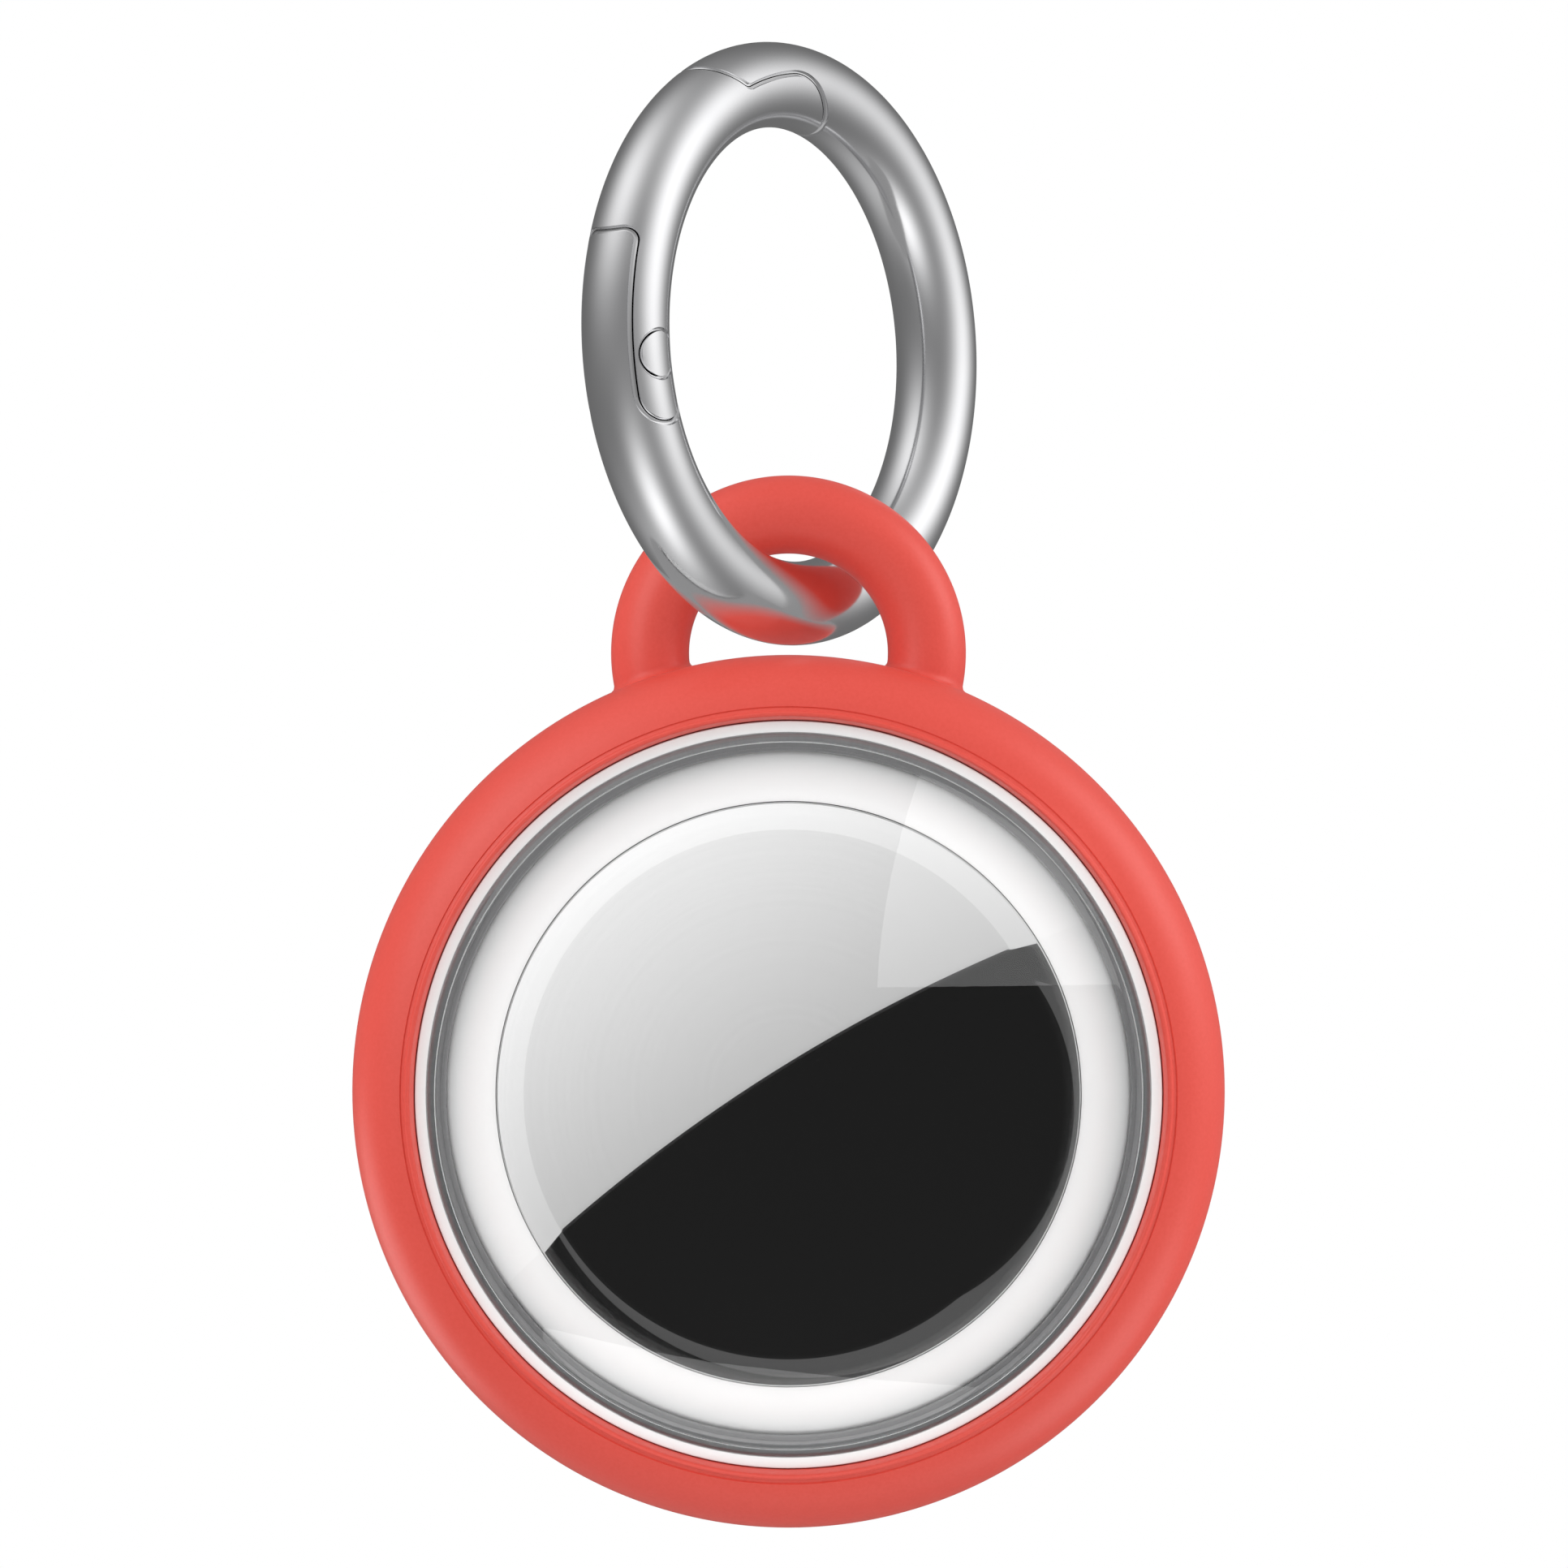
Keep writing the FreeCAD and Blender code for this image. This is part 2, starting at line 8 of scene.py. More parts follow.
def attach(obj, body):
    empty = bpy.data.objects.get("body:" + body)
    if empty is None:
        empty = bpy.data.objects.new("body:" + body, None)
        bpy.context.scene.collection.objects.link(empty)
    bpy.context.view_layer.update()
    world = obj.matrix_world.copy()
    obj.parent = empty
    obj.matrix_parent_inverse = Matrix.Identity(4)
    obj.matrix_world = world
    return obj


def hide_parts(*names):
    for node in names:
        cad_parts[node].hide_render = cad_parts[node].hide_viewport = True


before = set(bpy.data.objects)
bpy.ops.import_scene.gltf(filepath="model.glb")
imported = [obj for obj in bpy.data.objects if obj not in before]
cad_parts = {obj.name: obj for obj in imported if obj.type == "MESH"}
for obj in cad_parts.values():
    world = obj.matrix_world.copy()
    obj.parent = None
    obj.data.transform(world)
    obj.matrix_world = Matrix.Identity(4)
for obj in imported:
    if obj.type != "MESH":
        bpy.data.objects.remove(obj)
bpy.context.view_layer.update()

scene = bpy.context.scene
mm = 0.001
print("frame loaded:", len(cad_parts), "nodes")

# where things stand, in millimetres as in the part
place = {
    "ringTurn": 53.0,
    "caseZ": -33.26,
    "seamAngle": 35.0,  # edges sharper than this stay crisp
    "mergeGap": 0.002,
}
quarterTurn = Matrix.Rotation(math.radians(90), 4, "X")
standCase = Matrix.Scale(mm, 4) @ Matrix.Translation((0, 0, place["caseZ"])) @ quarterTurn
standRing = Matrix.Scale(mm, 4) @ Matrix.Rotation(math.radians(place["ringTurn"]), 4, "Z") @ quarterTurn


def linear(hexColour):
    parts = [int(hexColour[i:i + 2], 16) / 255 for i in (1, 3, 5)]
    parts = [c / 12.92 if c <= 0.04045 else ((c + 0.055) / 1.055) ** 2.4 for c in parts]
    return (*parts, 1.0)


def addNode(tree, kind, values=None, links=None, **settings):
    node = tree.nodes.new(kind)
    for key, value in settings.items():
        setattr(node, key, value)
    for key, value in (values or {}).items():
        node.inputs[key].default_value = value
    for key, socket in (links or {}).items():
        tree.links.new(socket, node.inputs[key])
    return node


def newMaterial(name, **values):
    material = bpy.data.materials.new(name)
    material.use_nodes = True
    tree = material.node_tree
    tree.nodes.clear()
    surface = addNode(tree, "ShaderNodeBsdfPrincipled", values)
    addNode(tree, "ShaderNodeOutputMaterial", links={"Surface": surface.outputs[0]})
    spots = addNode(tree, "ShaderNodeTexCoord").outputs["Object"]
    return material, tree, surface, spots


def perMetre(sizeInMm):
    return 1.0 / (sizeInMm * mm)  # texture scale for a pattern of this size


def mottle(tree, surface, pattern, look):
    # colour that drifts with a pattern, and roughness too where the finish has it
    tone = addNode(
        tree, "ShaderNodeMix", {"A": linear(look["dark"]), "B": linear(look["light"])},
        {"Factor": pattern.outputs[0]}, data_type="RGBA",
    )
    tree.links.new(tone.outputs["Result"], surface.inputs["Base Color"])
    if "smooth" in look:
        rough = addNode(
            tree, "ShaderNodeMapRange", {"To Min": look["smooth"], "To Max": look["rough"]},
            {"Value": pattern.outputs[0]},
        )
        tree.links.new(rough.outputs[0], surface.inputs["Roughness"])


grainDetail = 3.0  # how finely the grains break up


def grained(name, look, **values):
    # a material with fine mottling of colour and the same grain in relief
    material, tree, surface, spots = newMaterial(name, **values)
    grain = addNode(
        tree, "ShaderNodeTexNoise", {"Scale": perMetre(look["grainMm"]), "Detail": grainDetail},
        {"Vector": spots},
    )
    mottle(tree, surface, grain, look)
    bump = addNode(
        tree, "ShaderNodeBump", {"Strength": 1.0, "Distance": look["reliefMm"] * mm},
        {"Height": grain.outputs[0]},
    )
    tree.links.new(bump.outputs[0], surface.inputs["Normal"])
    return material


# polished stainless: bright, with the faint cloudiness that buffing leaves
steel = {
    "light": "#F2F2F3", "dark": "#E9E9EB", "cloudMm": 2.5, "detail": 4.0, "smooth": 0.10, "rough": 0.14,
}
polishedSteel, tree, surface, spots = newMaterial("stainless steel, cast and buffed", Metallic=1.0)
cloud = addNode(
    tree, "ShaderNodeTexNoise", {"Scale": perMetre(steel["cloudMm"]), "Detail": steel["detail"]},
    {"Vector": spots},
)
mottle(tree, surface, cloud, steel)

# rolled and mirror-polished disc: near-perfect reflection with faint hairlines round it
mirror = {
    "light": "#F3F3F3", "dark": "#F0F0F0", "lineMm": 0.25, "detail": 2.0, "smooth": 0.012, "rough": 0.02,
}
mirrorSteel, tree, surface, spots = newMaterial("stainless steel, stamped and mirror polished", Metallic=1.0)
middle = addNode(
    tree, "ShaderNodeMapping", {"Location": (0, 0, -place["caseZ"] * mm)}, {"Vector": spots},
    vector_type="POINT",
)
apart = addNode(tree, "ShaderNodeSeparateXYZ", links={"Vector": middle.outputs[0]})
across = addNode(tree, "ShaderNodeCombineXYZ", links={"X": apart.outputs["X"], "Y": apart.outputs["Z"]})
reach = addNode(tree, "ShaderNodeVectorMath", links={0: across.outputs[0]}, operation="LENGTH")
hairlines = addNode(
    tree, "ShaderNodeTexNoise", {"Scale": perMetre(mirror["lineMm"]), "Detail": mirror["detail"]},
    {"W": reach.outputs["Value"]}, noise_dimensions="1D",
)
mottle(tree, surface, hairlines, mirror)

# moulded elastomer: an even matt red with a fine tool-texture grain
red = {"light": "#E35045", "dark": "#DB4638", "grainMm": 0.16, "reliefMm": 0.004}
redElastomer = grained(
    "red elastomer, moulded matt", red, Roughness=0.4,
    **{"IOR": 1.45, "Specular IOR Level": 0.65, "Sheen Weight": 0.03, "Sheen Roughness": 0.4},
)

# clear polycarbonate: bends and reflects as a solid wall, and lets lamps and soft light through
clearPolycarbonate, tree, surface, spots = newMaterial(
    "clear polycarbonate, moulded and polished", Roughness=0.0, IOR=1.5,
    **{"Base Color": (1, 1, 1, 1), "Transmission Weight": 1.0},
)
path = addNode(tree, "ShaderNodeLightPath")
soft = addNode(
    tree, "ShaderNodeMath", links={0: path.outputs["Is Shadow Ray"], 1: path.outputs["Is Diffuse Ray"]},
    operation="MAXIMUM",
)
through = addNode(tree, "ShaderNodeBsdfTransparent")
mixed = addNode(
    tree, "ShaderNodeMixShader", links={0: soft.outputs[0], 1: surface.outputs[0], 2: through.outputs[0]}
)
tree.links.new(mixed.outputs[0], tree.nodes["Material Output"].inputs["Surface"])

# the same polycarbonate left matt by its mould on the flange and skirt: a pale, milky ring, painted faintly
# cool to cancel the pink that the red band's bounce light casts on it
milkyCoolAgainstBounce = {"light": "#F8FDFD", "dark": "#F3F8F8", "grainMm": 0.15, "reliefMm": 0.002}
mattPolycarbonate = grained("clear polycarbonate, moulded matt", milkyCoolAgainstBounce, Roughness=0.42, IOR=1.5)

# grey silicone seal: satin, slightly dusty
satin = {"light": "#8C8C8D", "dark": "#7C7C7E", "grainMm": 0.12, "reliefMm": 0.003}
greySeal = grained("grey silicone, moulded satin", satin, Roughness=0.5)

# white polycarbonate: glossy, with the tiny pits of a moulded face
white = {"light": "#FDFDFD", "dark": "#F6F6F6", "grainMm": 0.10, "reliefMm": 0.0015}
whitePolycarbonate = grained(
    "white polycarbonate, moulded gloss", white, Roughness=0.22,
    **{"Coat Weight": 0.25, "Coat Roughness": 0.08},
)

# drawn spring steel: mid grey with a very fine grain
drawn = {"light": "#BDBDBF", "dark": "#A9A9AB", "grainMm": 0.08, "reliefMm": 0.001}
springSteel = grained("spring steel, drawn", drawn, Metallic=1.0, Roughness=0.32)

# black moulded plastic of the tray, carrier, chip and cell gasket: dull, with a fine grain
black = {"light": "#2A2A2C", "dark": "#1E1E20", "grainMm": 0.2, "reliefMm": 0.004}
blackMoulding = grained("black polyamide, moulded", black, Roughness=0.5)

# nickel-plated cell steel: warm grey, half dulled by stamping
plate = {"light": "#D2D1CE", "dark": "#C4C3C0", "grainMm": 0.3, "reliefMm": 0.001}
cellSteel = grained("nickel-plated steel, stamped", plate, Metallic=1.0, Roughness=0.28)

# phosphor bronze of the contacts and the coil: a brassy orange, finely mottled
bronze = {"light": "#D8A86A", "dark": "#C4915A", "grainMm": 0.15, "reliefMm": 0.001}
contactBronze = grained("phosphor bronze, rolled", bronze, Metallic=1.0, Roughness=0.3)

# solder-masked laminate: dark green, the glass in it just showing as a mottle
laminate = {"light": "#1F6B45", "dark": "#175437", "grainMm": 0.25, "reliefMm": 0.004}
boardLaminate = grained("glass epoxy laminate, solder masked", laminate, Roughness=0.35)

# plated magnet: bright nickel over a grainy core
magnet = {"light": "#CFCFD0", "dark": "#BEBEC0", "grainMm": 0.4, "reliefMm": 0.002}
platedMagnet = grained("sintered magnet, nickel plated", magnet, Metallic=1.0, Roughness=0.2)
print("materials made:", len(bpy.data.materials))


def finishPiece(bm, name, stand, material, body, node):
    bmesh.ops.remove_doubles(bm, verts=bm.verts, dist=place["mergeGap"])
    bmesh.ops.recalc_face_normals(bm, faces=bm.faces)
    bm.transform(stand)
    mesh = bpy.data.meshes.new(name)
    bm.to_mesh(mesh)
    bm.free()
    mesh.materials.append(material)
    mesh.shade_smooth()
    mesh.set_sharp_from_angle(angle=math.radians(place["seamAngle"]))
    piece = bpy.data.objects.new(name, mesh)
    scene.collection.objects.link(piece)
    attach(piece, body)
    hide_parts(node)
    print("piece", name, len(mesh.polygons), "faces")
    return piece


def arcPoints(centreR, centreZ, radius, first, last, count):
    # points of an arc in a profile, angles in degrees from the outward direction
    turns = [math.radians(first + (last - first) * i / count) for i in range(count + 1)]
    return [(centreR + radius * math.cos(a), centreZ + radius * math.sin(a)) for a in turns]


def crownPoints(radius, edge, top, count):
    # points of a shallow dome from its middle out to its edge
    rise = top - edge
    ball = (radius ** 2 + rise ** 2) / (2 * rise)
    reaches = [radius * i / count for i in range(count + 1)]
    return [(r, top - ball + math.sqrt(ball ** 2 - r ** 2)) for r in reaches]


def vertsOf(geom):
    return [item for item in geom if isinstance(item, bmesh.types.BMVert)]


def spinProfile(bm, profile, steps):
    # turns a closed row of (radius, height) points all the way about Z
    verts = [bm.verts.new((r, 0, z)) for r, z in profile]
    edges = [bm.edges.new(pair) for pair in zip(verts, verts[1:] + verts[:1])]
    bmesh.ops.spin(
        bm, geom=verts + edges, cent=(0, 0, 0), axis=(0, 0, 1), angle=2 * math.pi, steps=steps, use_merge=True
    )
    bmesh.ops.remove_doubles(bm, verts=bm.verts, dist=place["mergeGap"])


def sweepProfile(bm, profile, begin, angle, steps):
    # turns a closed row of (radius, height) points part of the way about Z, and caps both ends
    verts = [bm.verts.new((r * math.cos(begin), r * math.sin(begin), z)) for r, z in profile]
    edges = [bm.edges.new(pair) for pair in zip(verts, verts[1:] + verts[:1])]
    last = bmesh.ops.spin(
        bm, geom=verts + edges, cent=(0, 0, 0), axis=(0, 0, 1), angle=angle, steps=steps
    )["geom_last"]
    bm.faces.new(verts)
    bm.faces.new(vertsOf(last))


def wireSection(bm, steps, radius, out, up=0.0):
    # a wire's round section beside the Z axis, and its edges, each once and in order
    wire = bmesh.ops.create_circle(
        bm, segments=steps, radius=radius, matrix=Matrix.Translation((out, 0, up)) @ quarterTurn
    )["verts"]
    return wire, list(dict.fromkeys(e for v in wire for e in v.link_edges))


# holder band: a crowned red hoop with an inner lip, and the hanging loop grown out of it
band = {
    "bore": 16.1, "coverBore": 16.42, "seat": 2.2, "outer": 19.32, "side": 2.2, "edge": 4.85,
    "cornerRadius": 2.91, "cornerSteps": 18, "groove": 0.05, "steps": 256,
    "lipFoot": 4.45, "lipTop": 4.98, "lipInner": 16.55, "lipOuter": 17.0, "lipRound": 0.13,
    "lipArc": (165, 10), "lipSteps": 10,
    "loopRadius": 6.2, "loopWire": 1.75, "loopRise": 19.47, "loopEnd": 32.0, "footRound": 0.3,
    "loopSteps": 220, "wireSteps": 56,
}


def cornerArc(start, end, radius, count):
    # an arc of the given radius between two profile points, bulging away from the axis and middle
    a, b = Vector(start), Vector(end)
    half = (b - a) / 2
    out = Vector((-half.y, half.x)).normalized()
    centre = a + half - out * math.sqrt(radius ** 2 - half.length ** 2)
    first = math.atan2(a.y - centre.y, a.x - centre.x)
    last = math.atan2(b.y - centre.y, b.x - centre.x)
    turns = [first + (last - first) * i / count for i in range(count + 1)]
    return [(centre.x + radius * math.cos(t), centre.y + radius * math.sin(t)) for t in turns]


def flareFeet(tube):
    # the loop's wire swells into the hoop with a small round at each foot
    foot = band["footRound"]
    for v in tube:
        above = math.hypot(v.co.x, v.co.y) - band["outer"]
        if v.co.y < band["loopRise"] and above < foot:
            drop = min(foot, foot - max(above, 0.0))
            swell = foot - math.sqrt(max(foot ** 2 - drop ** 2, 0.0))
            along = Vector((v.co.x, v.co.y - band["loopRise"], 0)).normalized() * band["loopRadius"]
            middle = along + Vector((0, band["loopRise"], 0))
            v.co += (v.co - middle).normalized() * swell


def makeBand():
    bm = bmesh.new()
    lip = band["lipRound"]
    half = [(band["bore"], 0), (band["bore"], band["seat"]), (band["coverBore"], band["seat"])]
    half += [(band["coverBore"], band["lipFoot"])]
    half += arcPoints(band["lipInner"] + lip, band["lipTop"] - lip, lip, *band["lipArc"], band["lipSteps"])
    half += [(band["lipOuter"] - band["groove"], band["edge"] - band["groove"])]
    half += cornerArc(
        (band["lipOuter"], band["edge"]), (band["outer"], band["side"]), band["cornerRadius"],
        band["cornerSteps"],
    )
    half += [(band["outer"], band["side"] / 2), (band["outer"], 0)]
    other = [(r, -z) for r, z in half[1:-1]]
    spinProfile(bm, half + other[::-1], band["steps"])
    hoop = set(bm.verts)

    wire, edges = wireSection(bm, band["wireSteps"], band["loopWire"], band["loopRadius"])
    turn = math.radians(-band["loopEnd"])
    bmesh.ops.rotate(bm, verts=wire, cent=(0, 0, 0), matrix=Matrix.Rotation(turn, 3, "Z"))
    last = bmesh.ops.spin(
        bm, geom=wire + edges, cent=(0, 0, 0), axis=(0, 0, 1), angle=math.pi - 2 * turn,
        steps=band["loopSteps"],
    )["geom_last"]
    bm.faces.new(wire)
    bm.faces.new(vertsOf(last))
    tube = [v for v in bm.verts if v not in hoop]
    bmesh.ops.translate(bm, verts=tube, vec=(0, band["loopRise"], 0))
    flareFeet(tube)
    return finishPiece(bm, "holderBand", standCase, redElastomer, "case", "band")


holderBand = makeBand()

# steel ring: one torus cut into body and gate along the hinge, lap and nose
ring = {
    "radius": 11.57, "wire": 1.88, "hinge": 187.0, "pin": 0.95, "pinGap": 0.05, "seam": 0.05,
    "tongueWidth": 2.64, "tongueReach": 5.4, "tongueRound": 0.6,
    "earReach": 2.97, "earCurl": 0.9, "earTurn": 160.0, "earArc": -85.0,
    "lapReach": 13.6, "lapHeight": 0.3, "lapCorner": 0.45, "noseReach": 17.0, "noseCorner": 2.2,
    "cutHalf": 2.6, "cutDepth": 3.0,
    "cove": 0.13, "coveStep": 0.14, "coveAngle": 38.0, "onWire": 0.03,
    "steps": {
        "round": 288, "wire": 72, "post": 160, "postRim": 8, "cove": 10, "ear": 48, "earArc": 16,
        "inside": 90, "tail": 60, "outside": 70, "lapEnd": 12, "lapCorner": 10, "lapSeam": 24,
        "noseCorner": 20, "noseTip": 14,
    },
}
hingeTurn = math.radians(ring["hinge"])
pinSpot = Vector((ring["radius"] * math.cos(hingeTurn), ring["radius"] * math.sin(hingeTurn), 0))


def ringTorus():
    bm = bmesh.new()
    wire, edges = wireSection(bm, ring["steps"]["wire"], ring["wire"], ring["radius"])
    bmesh.ops.spin(
        bm, geom=wire + edges, cent=(0, 0, 0), axis=(0, 0, 1), angle=2 * math.pi,
        steps=ring["steps"]["round"], use_merge=True,
    )
    bmesh.ops.remove_doubles(bm, verts=bm.verts, dist=place["mergeGap"])
    return bm


def aroundPin(reach, radius, way):
    # the point at one distance from the pin and another from the ring's axis, to one side of the hinge
    cosine = (ring["radius"] ** 2 + radius ** 2 - reach ** 2) / (2 * ring["radius"] * radius)
    turn = hingeTurn + way * math.acos(cosine)
    return Vector((radius * math.cos(turn), radius * math.sin(turn), 0))


def arcBetween(centre, start, end, count):
    # the shorter arc from start to end, without its last point
    first = math.atan2(start.y - centre.y, start.x - centre.x)
    sweep = math.atan2(end.y - centre.y, end.x - centre.x) - first
    sweep = (sweep + math.pi) % (2 * math.pi) - math.pi
    radius = (start - centre).length
    turns = [first + sweep * i / count for i in range(count)]
    return [centre + Vector((radius * math.cos(t), radius * math.sin(t), 0)) for t in turns]


def gatePrism(gap):
    # the gate seen face-on: inner side, tail about the pin, outer side, lap end, lap seam, rounded nose
    axis, steps = Vector((0, 0, 0)), ring["steps"]
    inner, outer = ring["radius"] - ring["cutHalf"], ring["radius"] + ring["cutHalf"]
    seam = ring["radius"] + ring["lapHeight"] + gap
    ear, lap, nose = ring["earReach"] + gap, ring["lapReach"] + gap, ring["noseReach"] + gap
    curl = ring["noseCorner"] + gap
    noseIn = aroundPin(nose, inner, -1)
    tailIn, tailOut = aroundPin(ear, inner, 1), aroundPin(ear, outer, 1)
    lapOut = aroundPin(lap, outer, -1)
    dip = aroundPin(ring["lapReach"] + ring["lapCorner"], seam - gap + ring["lapCorner"], -1)
    dipLap, dipSeam = pinSpot + (dip - pinSpot).normalized() * lap, dip.normalized() * seam
    bend = aroundPin(nose - curl, seam - curl, -1)
    bendTop = bend.normalized() * seam
    bendTip = pinSpot + (bend - pinSpot).normalized() * nose
    outline = arcBetween(axis, noseIn, tailIn, steps["inside"])
    outline += arcBetween(pinSpot, tailIn, tailOut, steps["tail"])
    outline += arcBetween(axis, tailOut, lapOut, steps["outside"])
    outline += arcBetween(pinSpot, lapOut, dipLap, steps["lapEnd"])
    outline += arcBetween(dip, dipLap, dipSeam, steps["lapCorner"])
    outline += arcBetween(axis, dipSeam, bendTop, steps["lapSeam"])
    outline += arcBetween(bend, bendTop, bendTip, steps["noseCorner"])
    outline += arcBetween(pinSpot, bendTip, noseIn, steps["noseTip"])
    bm = bmesh.new()
    face = bm.faces.new([bm.verts.new(spot - Vector((0, 0, ring["cutDepth"]))) for spot in outline])
    raised = bmesh.ops.extrude_face_region(bm, geom=[face], use_keep_orig=True)["geom"]
    bmesh.ops.translate(bm, verts=vertsOf(raised), vec=(0, 0, 2 * ring["cutDepth"]))
    bmesh.ops.recalc_face_normals(bm, faces=bm.faces)
    return bm


def pinPost(radius, halfHeight, rimRound=0.0):
    # a round post about the hinge pin, its rims rounded when asked
    bm = bmesh.new()
    bmesh.ops.create_cone(
        bm, cap_ends=True, segments=ring["steps"]["post"], radius1=radius, radius2=radius,
        depth=2 * halfHeight, matrix=Matrix.Translation(pinSpot),
    )
    if rimRound:
        rims = [e for e in bm.edges if abs(e.verts[0].co.z - e.verts[1].co.z) < place["mergeGap"]]
        bmesh.ops.bevel(
            bm, geom=rims, offset=rimRound, segments=ring["steps"]["postRim"], profile=0.5, affect="EDGES",
            material=-1, clamp_overlap=True,
        )
    return bm


def earCorners(gap):
    # what rounds the slot-side corner of each ear's end, turned about the pin over the tail
    bm = bmesh.new()
    curl, steps = ring["earCurl"], ring["steps"]
    reach, height = ring["earReach"] - curl, ring["tongueWidth"] / 2 + ring["seam"] + curl
    far, low = reach + curl + gap + ring["seam"], height - curl - gap - ring["seam"]
    profile = arcPoints(reach, height, curl + gap, 0, ring["earArc"], steps["earArc"])
    profile += [(profile[-1][0], low), (far, low), (far, height)]
    begin = math.radians(ring["hinge"] + 90 - ring["earTurn"] / 2)
    for way in (1, -1):
        sided = [(r, z * way) for r, z in profile]
        sweepProfile(bm, sided, begin, math.radians(ring["earTurn"]), steps["ear"])
    bmesh.ops.translate(bm, verts=bm.verts, vec=pinSpot)
    bmesh.ops.recalc_face_normals(bm, faces=bm.faces)
    return bm


def carve(target, tool, operation, selfCross=False):
    # one exact boolean between two loose meshes
    pair = []
    for bm in (target, tool):
        mesh = bpy.data.meshes.new("carving")
        bm.to_mesh(mesh)
        bm.free()
        pair.append(bpy.data.objects.new("carving", mesh))
        scene.collection.objects.link(pair[-1])
    cut = pair[0].modifiers.new("cut", "BOOLEAN")
    cut.operation, cut.object, cut.solver, cut.use_self = operation, pair[1], "EXACT", selfCross
    result = bmesh.new()
    carved = pair[0].evaluated_get(bpy.context.evaluated_depsgraph_get())
    result.from_mesh(carved.to_mesh())
    carved.to_mesh_clear()
    for old in pair:
        mesh = old.data
        bpy.data.objects.remove(old)
        bpy.data.meshes.remove(mesh)
    return result


def coveTubes():
    # geometry nodes that turn loose seam edges into one thin tube
    group = bpy.data.node_groups.new("seam cove", "GeometryNodeTree")
    group.interface.new_socket("Geometry", in_out="INPUT", socket_type="NodeSocketGeometry")
    group.interface.new_socket("Geometry", in_out="OUTPUT", socket_type="NodeSocketGeometry")
    seams = addNode(group, "NodeGroupInput")
    line = addNode(group, "GeometryNodeMeshToCurve", links={"Mesh": seams.outputs[0]})
    even = addNode(
        group, "GeometryNodeResampleCurve", {"Length": ring["coveStep"]}, {"Curve": line.outputs[0]},
        mode="LENGTH",
    )
    rim = addNode(
        group, "GeometryNodeCurvePrimitiveCircle",
        {"Radius": ring["cove"], "Resolution": ring["steps"]["cove"]},
    )
    tube = addNode(
        group, "GeometryNodeCurveToMesh", {"Fill Caps": True},
        {"Curve": even.outputs[0], "Profile Curve": rim.outputs[0]},
    )
    addNode(group, "NodeGroupOutput", links={0: tube.outputs[0]})
    return group


def coveSeams(bm, group):
    # eases each cut edge on the wire's surface with a fine cove, so the seams catch light
    bmesh.ops.remove_doubles(bm, verts=bm.verts, dist=place["mergeGap"])

    def onWire(v):
        reach = math.hypot(math.hypot(v.co.x, v.co.y) - ring["radius"], v.co.z)
        return abs(reach - ring["wire"]) < ring["onWire"]

    least = math.radians(ring["coveAngle"])
    sharp = [e for e in bm.edges if len(e.link_faces) == 2 and e.calc_face_angle() > least]
    seams = bm.copy()
    seams.edges.ensure_lookup_table()
    keep = {e.index for e in sharp if onWire(e.verts[0]) and onWire(e.verts[1])}
    bmesh.ops.delete(seams, geom=list(seams.faces), context="FACES_ONLY")
    bmesh.ops.delete(seams, geom=[e for e in seams.edges if e.index not in keep], context="EDGES")
    mesh = bpy.data.meshes.new("seams")
    seams.to_mesh(mesh)
    seams.free()
    lines = bpy.data.objects.new("seams", mesh)
    scene.collection.objects.link(lines)
    lines.modifiers.new("cove", "NODES").node_group = group
    tubes = bmesh.new()
    drawnTubes = lines.evaluated_get(bpy.context.evaluated_depsgraph_get())
    tubes.from_mesh(drawnTubes.to_mesh())
    drawnTubes.to_mesh_clear()
    bpy.data.objects.remove(lines)
    bpy.data.meshes.remove(mesh)
    bmesh.ops.remove_doubles(tubes, verts=tubes.verts, dist=place["mergeGap"])
    bmesh.ops.recalc_face_normals(tubes, faces=tubes.faces)
    return carve(bm, tubes, "DIFFERENCE", True)


def makeRing():
    gap, depth = ring["seam"], ring["cutDepth"]
    tongue = [ring["tongueReach"], ring["tongueWidth"] / 2, ring["tongueRound"]]
    group = coveTubes()
    room = carve(gatePrism(gap), pinPost(*tongue), "DIFFERENCE")
    room = carve(room, earCorners(gap), "DIFFERENCE")
    shackle = carve(ringTorus(), room, "DIFFERENCE")
    shackle = carve(shackle, pinPost(ring["pin"], depth), "DIFFERENCE")

    slot = pinPost(*[size + gap for size in tongue])
    forked = carve(gatePrism(0.0), slot, "DIFFERENCE")
    forked = carve(forked, earCorners(0.0), "DIFFERENCE")
    gate = carve(ringTorus(), forked, "INTERSECT")
    gate = carve(gate, pinPost(ring["pin"] + ring["pinGap"], depth), "DIFFERENCE")

    pin = carve(ringTorus(), pinPost(ring["pin"], depth), "INTERSECT")
    cuts = (
        (coveSeams(shackle, group), "ringBody", "ring", "ring_body"),
        (coveSeams(gate, group), "springGate", "gate", "gate"),
        (pin, "hingePin", "ring", "gate_pin"),
    )
    for bm, name, body, node in cuts:
        piece = finishPiece(bm, name, standRing, polishedSteel, body, node)
        piece.visible_diffuse = False  # soft light passes the ring, so the loop beside it keeps its colour
    bpy.data.node_groups.remove(group)


makeRing()

# gate spring: one wire wound by a rising spin in its bore
spring = {
    "coil": 0.5, "wire": 0.1, "pitch": 0.66, "turns": 5, "start": 1.55, "endRoom": 0.1, "steps": 200,
    "wireSteps": 12,
}


